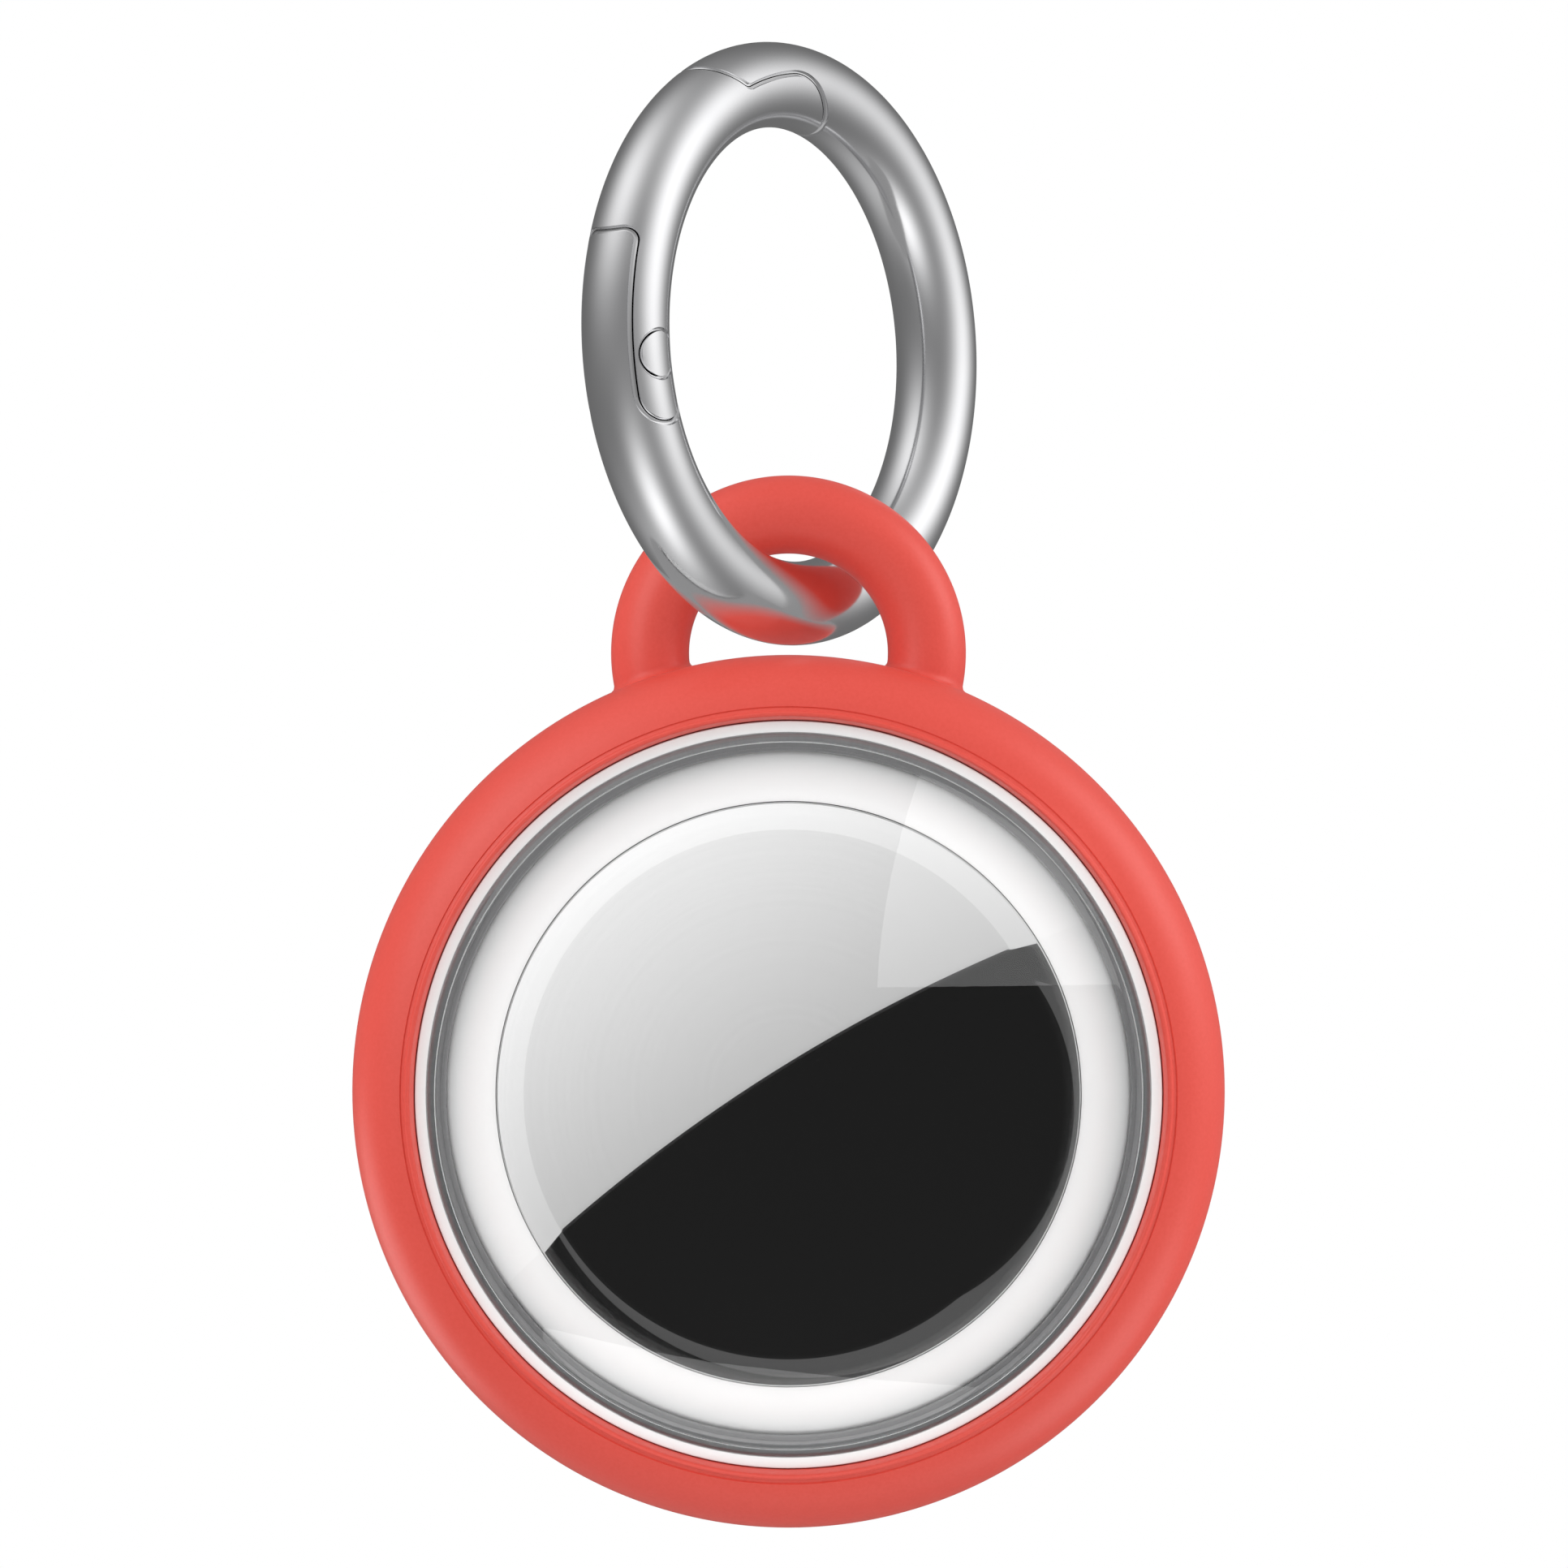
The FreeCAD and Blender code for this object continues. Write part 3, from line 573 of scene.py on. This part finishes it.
def makeSpring():
    bm = bmesh.new()
    wire, edges = wireSection(bm, spring["wireSteps"], spring["wire"], spring["coil"], spring["wire"])
    last = bmesh.ops.spin(
        bm, geom=wire + edges, cent=(0, 0, 0), axis=(0, 0, 1), angle=2 * math.pi * spring["turns"],
        steps=spring["steps"], dvec=(0, 0, spring["pitch"] * spring["turns"] / spring["steps"]),
    )["geom_last"]
    bm.faces.new(wire)
    bm.faces.new(vertsOf(last))
    length = spring["start"] + spring["pitch"] * spring["turns"] + 2 * spring["wire"] + spring["endRoom"]
    startTurn = hingeTurn - 2 * math.asin(ring["tongueReach"] / (2 * ring["radius"]))
    endTurn = startTurn - length / ring["radius"]
    begin = Vector((math.cos(startTurn), math.sin(startTurn), 0)) * ring["radius"]
    end = Vector((math.cos(endTurn), math.sin(endTurn), 0)) * ring["radius"]
    along = (end - begin).normalized()
    lean = Vector((0, 0, 1)).rotation_difference(along).to_matrix().to_4x4()
    bm.transform(Matrix.Translation(begin + along * spring["start"]) @ lean)
    finishPiece(bm, "gateSpring", standRing, springSteel, "gate", "gate_spring")


makeSpring()

# clear covers: skirt, flange, rounded shoulder and shallow dome, the same front and back
cover = {
    "outer": 16.37, "inner": 15.92, "seat": 2.2, "flange": 4.35, "flangeWidth": 0.47, "footStep": 0.02,
    "shoulder": 5.05, "shoulderRun": 0.8, "top": 5.45, "wall": 0.8, "rimRound": 0.06,
    "tagFront": 4.0, "cornerDrop": 0.6, "cornerRun": 0.92,
    "line": 0.03, "lineAt": 3, "lineRise": 0.3, "lineFall": 0.6,  # a fine line on the shoulder
    "steps": 300, "domeSteps": 30, "shoulderSteps": 14, "cornerSteps": 12, "rimSteps": 5,
}


def quarterSteps(count):
    # the angles of a quarter turn, without its first
    return [math.radians(90 * i / count) for i in range(1, count + 1)]


def makeCover(name, way, body, node):
    bm = bmesh.new()
    foot = cover["outer"] - cover["flangeWidth"]
    windowRadius = foot - cover["shoulderRun"]
    rise = cover["shoulder"] - cover["flange"]
    dome = crownPoints(windowRadius, cover["shoulder"], cover["top"], cover["domeSteps"])
    shoulder = [
        (windowRadius + cover["shoulderRun"] * math.sin(a), cover["flange"] + rise * math.cos(a))
        for a in quarterSteps(cover["shoulderSteps"])
    ]
    line, at = cover["line"], cover["lineAt"]
    r, z = shoulder[at]
    shoulder[at:at + 1] = [
        (r - line, z + line * cover["lineRise"]), (r, z - line), (r + line, z - line * cover["lineFall"])
    ]
    rim = cover["rimRound"]
    flange = [(foot + cover["footStep"], cover["flange"])]
    flange += arcPoints(cover["outer"] - rim, cover["flange"] - rim, rim, 90, 0, cover["rimSteps"])
    cornerTop = cover["inner"] - cover["cornerRun"]
    innerEdge = cover["shoulder"] - cover["wall"]
    hollow = crownPoints(cornerTop, innerEdge, cover["top"] - cover["wall"], cover["domeSteps"])
    drop = innerEdge - (cover["tagFront"] - cover["cornerDrop"])
    corner = [
        (cornerTop + cover["cornerRun"] * math.sin(a), innerEdge - drop * (1 - math.cos(a)))
        for a in quarterSteps(cover["cornerSteps"])
    ]
    skirt = [(cover["outer"], cover["seat"]), (cover["inner"], cover["seat"])]
    profile = dome + shoulder + flange + skirt + corner[::-1] + hollow[::-1]
    spinProfile(bm, [(r, z * way) for r, z in profile], cover["steps"])
    for face in bm.faces:
        middle = face.calc_center_median()
        if math.hypot(middle.x, middle.y) > foot and abs(middle.z) < cover["flange"] + rim:
            face.material_index = 1  # the matt flange and skirt
    piece = finishPiece(bm, name, standCase, clearPolycarbonate, body, node)
    piece.data.materials.append(mattPolycarbonate)
    return piece


frontWindow = makeCover("frontWindow", 1, "front_cover", "front_cover")
makeCover("rearWindow", -1, "case", "rear_cover")

# tag shell: white cup with a round front shoulder and a domed back, open where the disc sits
tag = {
    "half": 4.0, "wall": 1.0, "rim": 0.6, "frontCentre": 12.75, "frontRound": 3.2, "rearCentre": 13.35,
    "rearRound": 2.6, "dome": 48.16, "mouth": 12.84, "steps": 300, "arcSteps": 20, "domeSteps": 30,
}


def makeTagShell():
    bm = bmesh.new()
    lean = math.asin(tag["rearCentre"] / (tag["dome"] - tag["rearRound"]))
    rearZ = -tag["half"] + tag["dome"] - (tag["dome"] - tag["rearRound"]) * math.cos(lean)

    def shellSide(inset):
        front, rear, ball = tag["frontRound"] - inset, tag["rearRound"] - inset, tag["dome"] - inset
        stop = math.degrees(math.acos((tag["mouth"] - tag["frontCentre"]) / front))
        side = arcPoints(tag["frontCentre"], tag["rim"], front, stop, 0, tag["arcSteps"])
        side += arcPoints(tag["rearCentre"], rearZ, rear, 0, -90 + math.degrees(lean), tag["arcSteps"])
        turns = [lean * (1 - i / tag["domeSteps"]) for i in range(1, tag["domeSteps"] + 1)]
        side += [(ball * math.sin(t), -tag["half"] + tag["dome"] - ball * math.cos(t)) for t in turns]
        return side

    spinProfile(bm, shellSide(0.0) + shellSide(tag["wall"])[::-1], tag["steps"])
    return finishPiece(
        bm, "tagShell", standCase, whitePolycarbonate, "case", "tag_shell"
    )


tagShell = makeTagShell()

# battery disc: flat mirror with a faintly falling border, rolled edge, skirt and three bayonet tabs
disc = {
    "radius": 12.8, "top": 4.0, "thick": 0.35, "edge": 0.08, "flatRadius": 11.57, "borderLean": 3.0,
    "borderEase": 0.06, "skirtInset": 0.55, "skirtWall": 0.55, "skirtEnd": 1.555,
    "tabTop": 2.005, "tabLength": 0.45, "tabRoot": 0.1, "tabWidth": 20.0, "tabFirst": 40.0, "tabCount": 3,
    "steps": 300, "edgeSteps": 8, "tabSteps": 16,
}


def makeDisc():
    bm = bmesh.new()
    under = disc["top"] - disc["thick"]
    skirt = disc["radius"] - disc["skirtInset"]
    fall = math.tan(math.radians(disc["borderLean"]))
    ease, edge = disc["borderEase"], disc["edge"]
    rimStart = disc["radius"] - edge
    rimTop = disc["top"] - fall * (rimStart - disc["flatRadius"])
    profile = [(0, disc["top"]), (disc["flatRadius"] - ease, disc["top"])]
    profile += [(disc["flatRadius"] + ease, disc["top"] - fall * ease / 2)]
    profile += arcPoints(rimStart, rimTop - edge, edge, 90 - disc["borderLean"], 0, disc["edgeSteps"])
    profile += [(disc["radius"], under), (skirt, under)]
    profile += [(skirt, disc["skirtEnd"]), (skirt - disc["skirtWall"], disc["skirtEnd"])]
    profile += [(skirt - disc["skirtWall"], under), (0, under)]
    spinProfile(bm, profile, disc["steps"])
    root, tip = skirt - disc["tabRoot"], skirt + disc["tabLength"]
    tab = [(root, disc["skirtEnd"]), (tip, disc["skirtEnd"]), (tip, disc["tabTop"]), (root, disc["tabTop"])]
    for index in range(disc["tabCount"]):
        first = math.radians(disc["tabFirst"] + index * 360 / disc["tabCount"])
        sweepProfile(bm, tab, first, math.radians(disc["tabWidth"]), disc["tabSteps"])
    finishPiece(bm, "batteryDisc", standCase, mirrorSteel, "battery_cover", "battery_cover")


makeDisc()

# seals: satin grey cushions, the front one with a sealing ridge
seal = {
    "inner": 15.05, "outer": 15.82, "top": 3.35, "seat": 0.08, "ridge": 0.22, "ridgeRound": 0.8,
    "round": 0.08, "roundSteps": 4, "steps": 300,
}


def makeSeal(name, way, centre, shoulder, ridge, node):
    bm = bmesh.new()
    top, curl = seal["top"], seal["round"]
    low = tag["rim"] * way + math.sqrt(shoulder ** 2 - (seal["inner"] - centre) ** 2) + seal["seat"]
    middle = (seal["inner"] + seal["outer"]) / 2
    profile = [(seal["inner"], low), (seal["outer"], low)]
    profile += arcPoints(seal["outer"] - curl, top - curl, curl, 0, 90, seal["roundSteps"])
    if ridge:
        flank = ridge * seal["ridgeRound"]
        crest = [(ridge / 2, 0), (ridge / 4, flank), (0, ridge), (-ridge / 4, flank), (-ridge / 2, 0)]
        profile += [(middle + r, top + z) for r, z in crest]
    profile += arcPoints(seal["inner"] + curl, top - curl, curl, 90, 180, seal["roundSteps"])
    spinProfile(bm, [(r, z * way) for r, z in profile], seal["steps"])
    finishPiece(bm, name, standCase, greySeal, "case", node)


makeSeal("frontSeal", 1, tag["frontCentre"], tag["frontRound"], seal["ridge"], "front_seal")
makeSeal("rearSeal", -1, tag["rearCentre"], tag["rearRound"], 0.0, "rear_seal")

# inner pieces keep the part's own meshes
innerMaterials = {
    "gate_plunger": springSteel, "shield_can": springSteel, "battery_tray": blackMoulding,
    "antenna_carrier": blackMoulding, "processor": blackMoulding, "cell_gasket": blackMoulding,
    "cell_can": cellSteel, "cell_cap": cellSteel, "positive_contacts": contactBronze,
    "negative_contact": contactBronze, "voice_coil": contactBronze, "circuit_board": boardLaminate,
    "speaker_magnet": platedMagnet,
}
for nodeName, material in innerMaterials.items():
    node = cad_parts[nodeName]
    node.data.materials.clear()
    node.data.materials.append(material)
print("inner pieces dressed:", len(innerMaterials))

# camera, level and straight on, fitted to the ring and window edges in the photo
view = {"lens": 98.14, "sensor": 36.0, "at": (-0.20, -191.5, -19.66), "clip": (0.005, 20.0)}
camera = bpy.data.objects.new("camera", bpy.data.cameras.new("camera"))
camera.data.lens, camera.data.sensor_width = view["lens"], view["sensor"]
camera.data.clip_start, camera.data.clip_end = view["clip"]
camera.location = Vector(view["at"]) * mm
camera.rotation_euler = (math.radians(90), 0, 0)
scene.collection.objects.link(camera)
scene.camera = camera
print("camera set:", view["lens"], "mm lens")

# world: white where it is seen, softer where it lights
light = {"ambient": 0.76, "seen": 1.0}
world = bpy.data.worlds.new("studio")
scene.world = world
world.use_nodes = True
tree = world.node_tree
tree.nodes.clear()
path = addNode(tree, "ShaderNodeLightPath")
seen = addNode(
    tree, "ShaderNodeMath", links={0: path.outputs["Is Camera Ray"], 1: path.outputs["Is Transmission Ray"]},
    operation="MAXIMUM",
)
seen = addNode(
    tree, "ShaderNodeMath", links={0: seen.outputs[0], 1: path.outputs["Is Glossy Ray"]}, operation="MAXIMUM"
)
level = addNode(
    tree, "ShaderNodeMapRange", {"To Min": light["ambient"], "To Max": light["seen"]},
    {"Value": seen.outputs[0]},
)
glow = addNode(tree, "ShaderNodeBackground", {"Color": (1, 1, 1, 1)}, {"Strength": level.outputs[0]})
addNode(tree, "ShaderNodeOutputWorld", links={"Surface": glow.outputs[0]})


def direction(azimuth, elevation):
    # a unit vector from the object, azimuth from the camera side towards the right
    a, e = math.radians(azimuth), math.radians(elevation)
    return Vector((math.sin(a) * math.cos(e), -math.cos(a) * math.cos(e), math.sin(e)))


def stagePiece(bm, name, material, shadow=False):
    mesh = bpy.data.meshes.new(name)
    bm.to_mesh(mesh)
    bm.free()
    mesh.materials.append(material)
    piece = bpy.data.objects.new(name, mesh)
    scene.collection.objects.link(piece)
    piece.visible_shadow = shadow
    return piece


# limits on the rays that meet a staged emitter
throughWindow = ("Transmission Depth", "GREATER_THAN", 0.5)
besideWindow = ("Transmission Depth", "LESS_THAN", 0.5)
mirroredAgain = ("Glossy Depth", "GREATER_THAN", 1.5)


def glossOnly(name, limits=(), fromBehind=False, fadeIn=None):
    # an emitter that only mirrored rays meet, and of those the ones within its limits
    material = bpy.data.materials.new(name)
    material.use_nodes = True
    tree = material.node_tree
    tree.nodes.clear()
    glow = addNode(tree, "ShaderNodeEmission", {"Color": (1, 1, 1, 1)})
    path = addNode(tree, "ShaderNodeLightPath")
    tests = []
    for measure, operation, limit in limits:
        test = addNode(tree, "ShaderNodeMath", {1: limit}, {0: path.outputs[measure]}, operation=operation)
        tests.append(test.outputs[0])
    if fadeIn:  # far rays, and those mirrored more than once
        near, far = fadeIn
        rise = addNode(
            tree, "ShaderNodeMapRange", {"From Min": near * mm, "From Max": far * mm},
            {"Value": path.outputs["Ray Length"]},
        )
        measure, operation, limit = mirroredAgain
        again = addNode(tree, "ShaderNodeMath", {1: limit}, {0: path.outputs[measure]}, operation=operation)
        either = addNode(
            tree, "ShaderNodeMath", links={0: rise.outputs[0], 1: again.outputs[0]}, operation="MAXIMUM"
        )
        tests.append(either.outputs[0])
    if fromBehind:
        tests.append(addNode(tree, "ShaderNodeNewGeometry").outputs["Backfacing"])
    met = path.outputs["Is Glossy Ray"]
    for test in tests:
        met = addNode(tree, "ShaderNodeMath", links={0: met, 1: test}, operation="MULTIPLY").outputs[0]
    clear = addNode(tree, "ShaderNodeBsdfTransparent")
    mixed = addNode(tree, "ShaderNodeMixShader", links={0: met, 1: clear.outputs[0], 2: glow.outputs[0]})
    addNode(tree, "ShaderNodeOutputMaterial", links={"Surface": mixed.outputs[0]})
    return material, tree, glow


# tent: the grey studio and its soft boxes, as the polished pieces see them
tent = {
    "radius": 1.5, "grey": 0.15, "steps": (48, 24),
    "boxes": [  # azimuth, elevation, spread, power
        (80, 20, 25, 1.1), (-55, 52, 25, 0.8), (0, -58, 17, 0.92), (0, -40, 32, 0.12), (-130, -68, 22, 0.3),
    ],
}


def makeTent():
    material, tree, glow = glossOnly("studio tent")
    spots = addNode(tree, "ShaderNodeTexCoord").outputs["Object"]
    aim = addNode(tree, "ShaderNodeVectorMath", links={0: spots}, operation="NORMALIZE")
    total = None
    for azimuth, elevation, spread, power in tent["boxes"]:
        # a soft bell of light about each direction, the first one on top of the grey
        near = addNode(
            tree, "ShaderNodeVectorMath", {1: direction(azimuth, elevation)}, {0: aim.outputs[0]},
            operation="DOT_PRODUCT",
        )
        fade = addNode(tree, "ShaderNodeMath", {1: 1.0}, {0: near.outputs["Value"]}, operation="SUBTRACT")
        bell = addNode(
            tree, "ShaderNodeMath", {1: 1.0 / math.radians(spread) ** 2}, {0: fade.outputs[0]},
            operation="MULTIPLY",
        )
        soft = addNode(tree, "ShaderNodeMath", {0: math.e}, {1: bell.outputs[0]}, operation="POWER")
        part = addNode(
            tree, "ShaderNodeMath", {1: power, 2: tent["grey"]}, {0: soft.outputs[0]},
            operation="MULTIPLY_ADD",
        )
        if total is not None:
            tree.links.new(total.outputs[0], part.inputs[2])
        total = part
    tree.links.new(total.outputs[0], glow.inputs["Strength"])
    bm = bmesh.new()
    around, upwards = tent["steps"]
    bmesh.ops.create_uvsphere(bm, u_segments=around, v_segments=upwards, radius=tent["radius"])
    stagePiece(bm, "studioTent", material)


makeTent()

# glowing cards in front of the window, met only by mirrored rays, that paint reflections: the disc sees a
# pale and a dark one through the window as a painted reflection, and the window's own face picks up two
# bright panes as painted highlights
cards = {
    "depth": -13.0, "span": 17.5, "spanSteps": 120, "middle": (0.0, -33.91),
    "arcMiddle": (40.4, -98.2), "arcRadius": 77.2,  # the curved line between pale and dark
    "paleNear": 0.6, "paleFar": 1.42, "paleRun": 24.0, "darkLevel": 0.003, "rimRadius": 12.6, "rimLift": 0.1,
    "crescentLevel": 0.088, "crescentTop": -28.3,
    "crescentOuter": (1.6, 0.0, 14.53), "crescentInner": (5.43, -0.86, 9.26),  # right, up, radius
    "paneDepth": -13.4, "paneLevel": 2.3, "paneReach": 11.0, "paneBow": 0.45, "bowSteps": 12,
    "pane": [(6.5, -18.0), (4.25, -28.63), (17.6, -28.5), (17.6, -18.0)],
    "lowPane": [
        (-11.8, -52), (9.34, -52), (9.34, -47.93), (2.8, -47.4), (-3.6, -46.68), (-7.4, -46.0),
        (-11.8, -45.03),
    ],
}


def cardSheet(name, outline, depth, material):
    bm = bmesh.new()
    bm.faces.new([bm.verts.new((x * mm, depth * mm, z * mm)) for x, z in outline])
    stagePiece(bm, name, material)


def makeDiscReflectionCard():
    # a glowing card met only by mirrored rays through the window: the disc's pale and dark areas are a
    # painted reflection
    x, z = cards["middle"]
    material, tree, glow = glossOnly("painted disc reflection card, pale and dark", [throughWindow], True)
    spots = addNode(tree, "ShaderNodeTexCoord").outputs["Object"]
    arcAt = Vector((cards["arcMiddle"][0], cards["depth"], cards["arcMiddle"][1])) * mm
    fromArc = addNode(tree, "ShaderNodeVectorMath", {1: arcAt}, {0: spots}, operation="DISTANCE")
    rimAt = Vector((x, cards["depth"], z)) * mm
    fromMiddle = addNode(tree, "ShaderNodeVectorMath", {1: rimAt}, {0: spots}, operation="DISTANCE")
    dark = addNode(
        tree, "ShaderNodeMath", {1: cards["arcRadius"] * mm}, {0: fromArc.outputs["Value"]},
        operation="LESS_THAN",
    )
    rim = addNode(
        tree, "ShaderNodeMath", {1: cards["rimRadius"] * mm}, {0: fromMiddle.outputs["Value"]},
        operation="GREATER_THAN",
    )
    pale = addNode(
        tree, "ShaderNodeMapRange",
        {"From Min": cards["arcRadius"] * mm, "From Max": (cards["arcRadius"] + cards["paleRun"]) * mm,
         "To Min": cards["paleNear"], "To Max": cards["paleFar"]}, {"Value": fromArc.outputs["Value"]},
    )
    paleRim = addNode(tree, "ShaderNodeMath", {1: cards["rimLift"]}, {0: pale.outputs[0]}, operation="ADD")
    # a grey crescent of painted reflection on the dark part of the rim, between two shifted circles and below
    # the pane
    height = addNode(tree, "ShaderNodeSeparateXYZ", links={"Vector": spots}).outputs["Z"]
    crescent = addNode(
        tree, "ShaderNodeMath", {1: cards["crescentTop"] * mm}, {0: height}, operation="LESS_THAN"
    )
    for side, operation in (("crescentOuter", "LESS_THAN"), ("crescentInner", "GREATER_THAN")):
        right, up, radius = cards[side]
        shifted = rimAt + Vector((right, 0, up)) * mm
        away = addNode(tree, "ShaderNodeVectorMath", {1: shifted}, {0: spots}, operation="DISTANCE")
        within = addNode(
            tree, "ShaderNodeMath", {1: radius * mm}, {0: away.outputs["Value"]}, operation=operation
        )
        crescent = addNode(
            tree, "ShaderNodeMath", links={0: crescent.outputs[0], 1: within.outputs[0]}, operation="MULTIPLY"
        )
    darkRim = addNode(
        tree, "ShaderNodeMix", {"A": cards["darkLevel"], "B": cards["crescentLevel"]},
        {"Factor": crescent.outputs[0]},
    )
    core = addNode(
        tree, "ShaderNodeMix", {"B": cards["darkLevel"]}, {"Factor": dark.outputs[0], "A": pale.outputs[0]}
    )
    edge = addNode(
        tree, "ShaderNodeMix",
        links={"Factor": dark.outputs[0], "A": paleRim.outputs[0], "B": darkRim.outputs[0]},
    )
    both = addNode(
        tree, "ShaderNodeMix", links={"Factor": rim.outputs[0], "A": core.outputs[0], "B": edge.outputs[0]}
    )
    tree.links.new(both.outputs[0], glow.inputs["Strength"])
    turns = [2 * math.pi * i / cards["spanSteps"] for i in range(cards["spanSteps"])]
    outline = [(x + cards["span"] * math.cos(t), z + cards["span"] * math.sin(t)) for t in turns]
    cardSheet("discReflectionCard", outline, cards["depth"], material)


def makeWindowHighlights():
    # glowing cards met only by near mirrored rays beside the window: painted highlights on the window's face
    near = ("Ray Length", "LESS_THAN", cards["paneReach"] * mm)
    material, _, glow = glossOnly("painted window highlight card", [besideWindow, near], True)
    glow.inputs["Strength"].default_value = cards["paneLevel"]
    high, low = [Vector(corner) for corner in cards["pane"][:2]]
    parts = [i / cards["bowSteps"] for i in range(cards["bowSteps"] + 1)]
    bowed = [high.lerp(low, t) - Vector((4 * t * (1 - t) * cards["paneBow"], 0)) for t in parts]
    cardSheet("windowHighlightCard", bowed + cards["pane"][2:], cards["paneDepth"], material)
    cardSheet("lowWindowHighlightCard", cards["lowPane"], cards["paneDepth"], material)


makeDiscReflectionCard()
makeWindowHighlights()

# flag: a glowing grey sleeve close round the band that only far or repeated mirrored rays meet, a painted
# grey reflection in place of the red band, so the ring's upper side shows grey
flag = {"lift": 0.06, "fadeIn": (2.2, 4.6), "level": 0.3}


def makeFlag(sleeved):
    material, _, glow = glossOnly("painted grey reflection flag", [besideWindow], fadeIn=flag["fadeIn"])
    glow.inputs["Strength"].default_value = flag["level"]
    bm = bmesh.new()
    bm.from_mesh(sleeved.data)
    for v in bm.verts:
        v.co += v.normal * flag["lift"] * mm
    stagePiece(bm, "bandReflectionFlag", material)


makeFlag(holderBand)

# soft lamps: two keys and a fill unseen in the gloss, four close ones that only the band takes, for its
# sheen, and one each for the tag and the window's matt flange; powers are those at the room's distance
lamps = {
    "spread": 0.7, "middle": -25.0, "distance": {"room": 0.5, "band": 0.12, "tag": 0.15, "flange": 0.15},
    "glossy": ("band", "tag"),
    "room": {"keyRight": (80, 15, 0.65), "keyLeft": (-60, 35, 0.6), "backFill": (165, 30, 0.7)},
    "band": {
        "sheenUpperRight": (79, 30, 0.36), "sheenUpperLeft": (-40, 20, 0.4),
        "sheenLowerRight": (74, -44, 0.42), "sheenLowerLeft": (-105, -29, 0.45),
    },
    "tag": {"tagFill": (0, -35, 0.65)},
    "flange": {"flangeFill": (0, -35, 0.5)},
}


def makeLamp(name, group, azimuth, elevation, power, onlyFor):
    distance = lamps["distance"][group]
    lamp = bpy.data.lights.new(name, "AREA")
    lamp.shape, lamp.size = "DISK", lamps["spread"] * distance
    lamp.energy = power * (distance / lamps["distance"]["room"]) ** 2
    spot = bpy.data.objects.new(name, lamp)
    aim = direction(azimuth, elevation)
    spot.location = Vector((0, 0, lamps["middle"] * mm)) + aim * distance
    spot.rotation_euler = aim.to_track_quat("Z", "Y").to_euler()
    spot.visible_camera = False
    spot.visible_transmission = False
    spot.visible_glossy = group in lamps["glossy"]
    if onlyFor:
        lit = bpy.data.collections.new(name)
        lit.objects.link(onlyFor)
        spot.light_linking.receiver_collection = lit
    scene.collection.objects.link(spot)


for group, onlyFor in (("room", None), ("band", holderBand), ("tag", tagShell), ("flange", frontWindow)):
    for name, (azimuth, elevation, power) in lamps[group].items():
        makeLamp(name, group, azimuth, elevation, power, onlyFor)
print("lamps set:", len(bpy.data.lights))

# floor: a pale sweep well below, fading out into the white, with the soft shadow on it
floor = {"drop": -150.0, "radius": 0.5, "fade": 0.3, "colour": "#D2D2D1", "lift": 0.5, "steps": 96}


def makeFloor():
    material = bpy.data.materials.new("pale studio floor")
    material.use_nodes = True
    tree = material.node_tree
    tree.nodes.clear()
    spots = addNode(tree, "ShaderNodeTexCoord").outputs["Object"]
    flat = addNode(tree, "ShaderNodeVectorMath", {1: (1, 1, 0)}, {0: spots}, operation="MULTIPLY")
    reach = addNode(tree, "ShaderNodeVectorMath", links={0: flat.outputs[0]}, operation="LENGTH")
    fade = addNode(
        tree, "ShaderNodeMapRange", {"From Min": floor["fade"], "From Max": floor["radius"]},
        {"Value": reach.outputs["Value"]}, interpolation_type="SMOOTHSTEP",
    )
    matt = addNode(tree, "ShaderNodeBsdfDiffuse", {"Color": linear(floor["colour"])})
    path = addNode(tree, "ShaderNodeLightPath")
    lift = addNode(
        tree, "ShaderNodeMath", {1: floor["lift"]}, {0: path.outputs["Is Camera Ray"]}, operation="MULTIPLY"
    )
    glow = addNode(tree, "ShaderNodeEmission", {"Color": (1, 1, 1, 1)}, {"Strength": lift.outputs[0]})
    both = addNode(tree, "ShaderNodeAddShader", links={0: matt.outputs[0], 1: glow.outputs[0]})
    clear = addNode(tree, "ShaderNodeBsdfTransparent")
    mixed = addNode(
        tree, "ShaderNodeMixShader", links={0: fade.outputs[0], 1: both.outputs[0], 2: clear.outputs[0]}
    )
    addNode(tree, "ShaderNodeOutputMaterial", links={"Surface": mixed.outputs[0]})
    bm = bmesh.new()
    bmesh.ops.create_circle(bm, cap_ends=True, segments=floor["steps"], radius=floor["radius"])
    bmesh.ops.translate(bm, verts=bm.verts, vec=(0, 0, floor["drop"] * mm))
    stagePiece(bm, "studioFloor", material, shadow=True).visible_glossy = False


makeFloor()
scene.view_settings.view_transform = "Standard"
print("studio set")
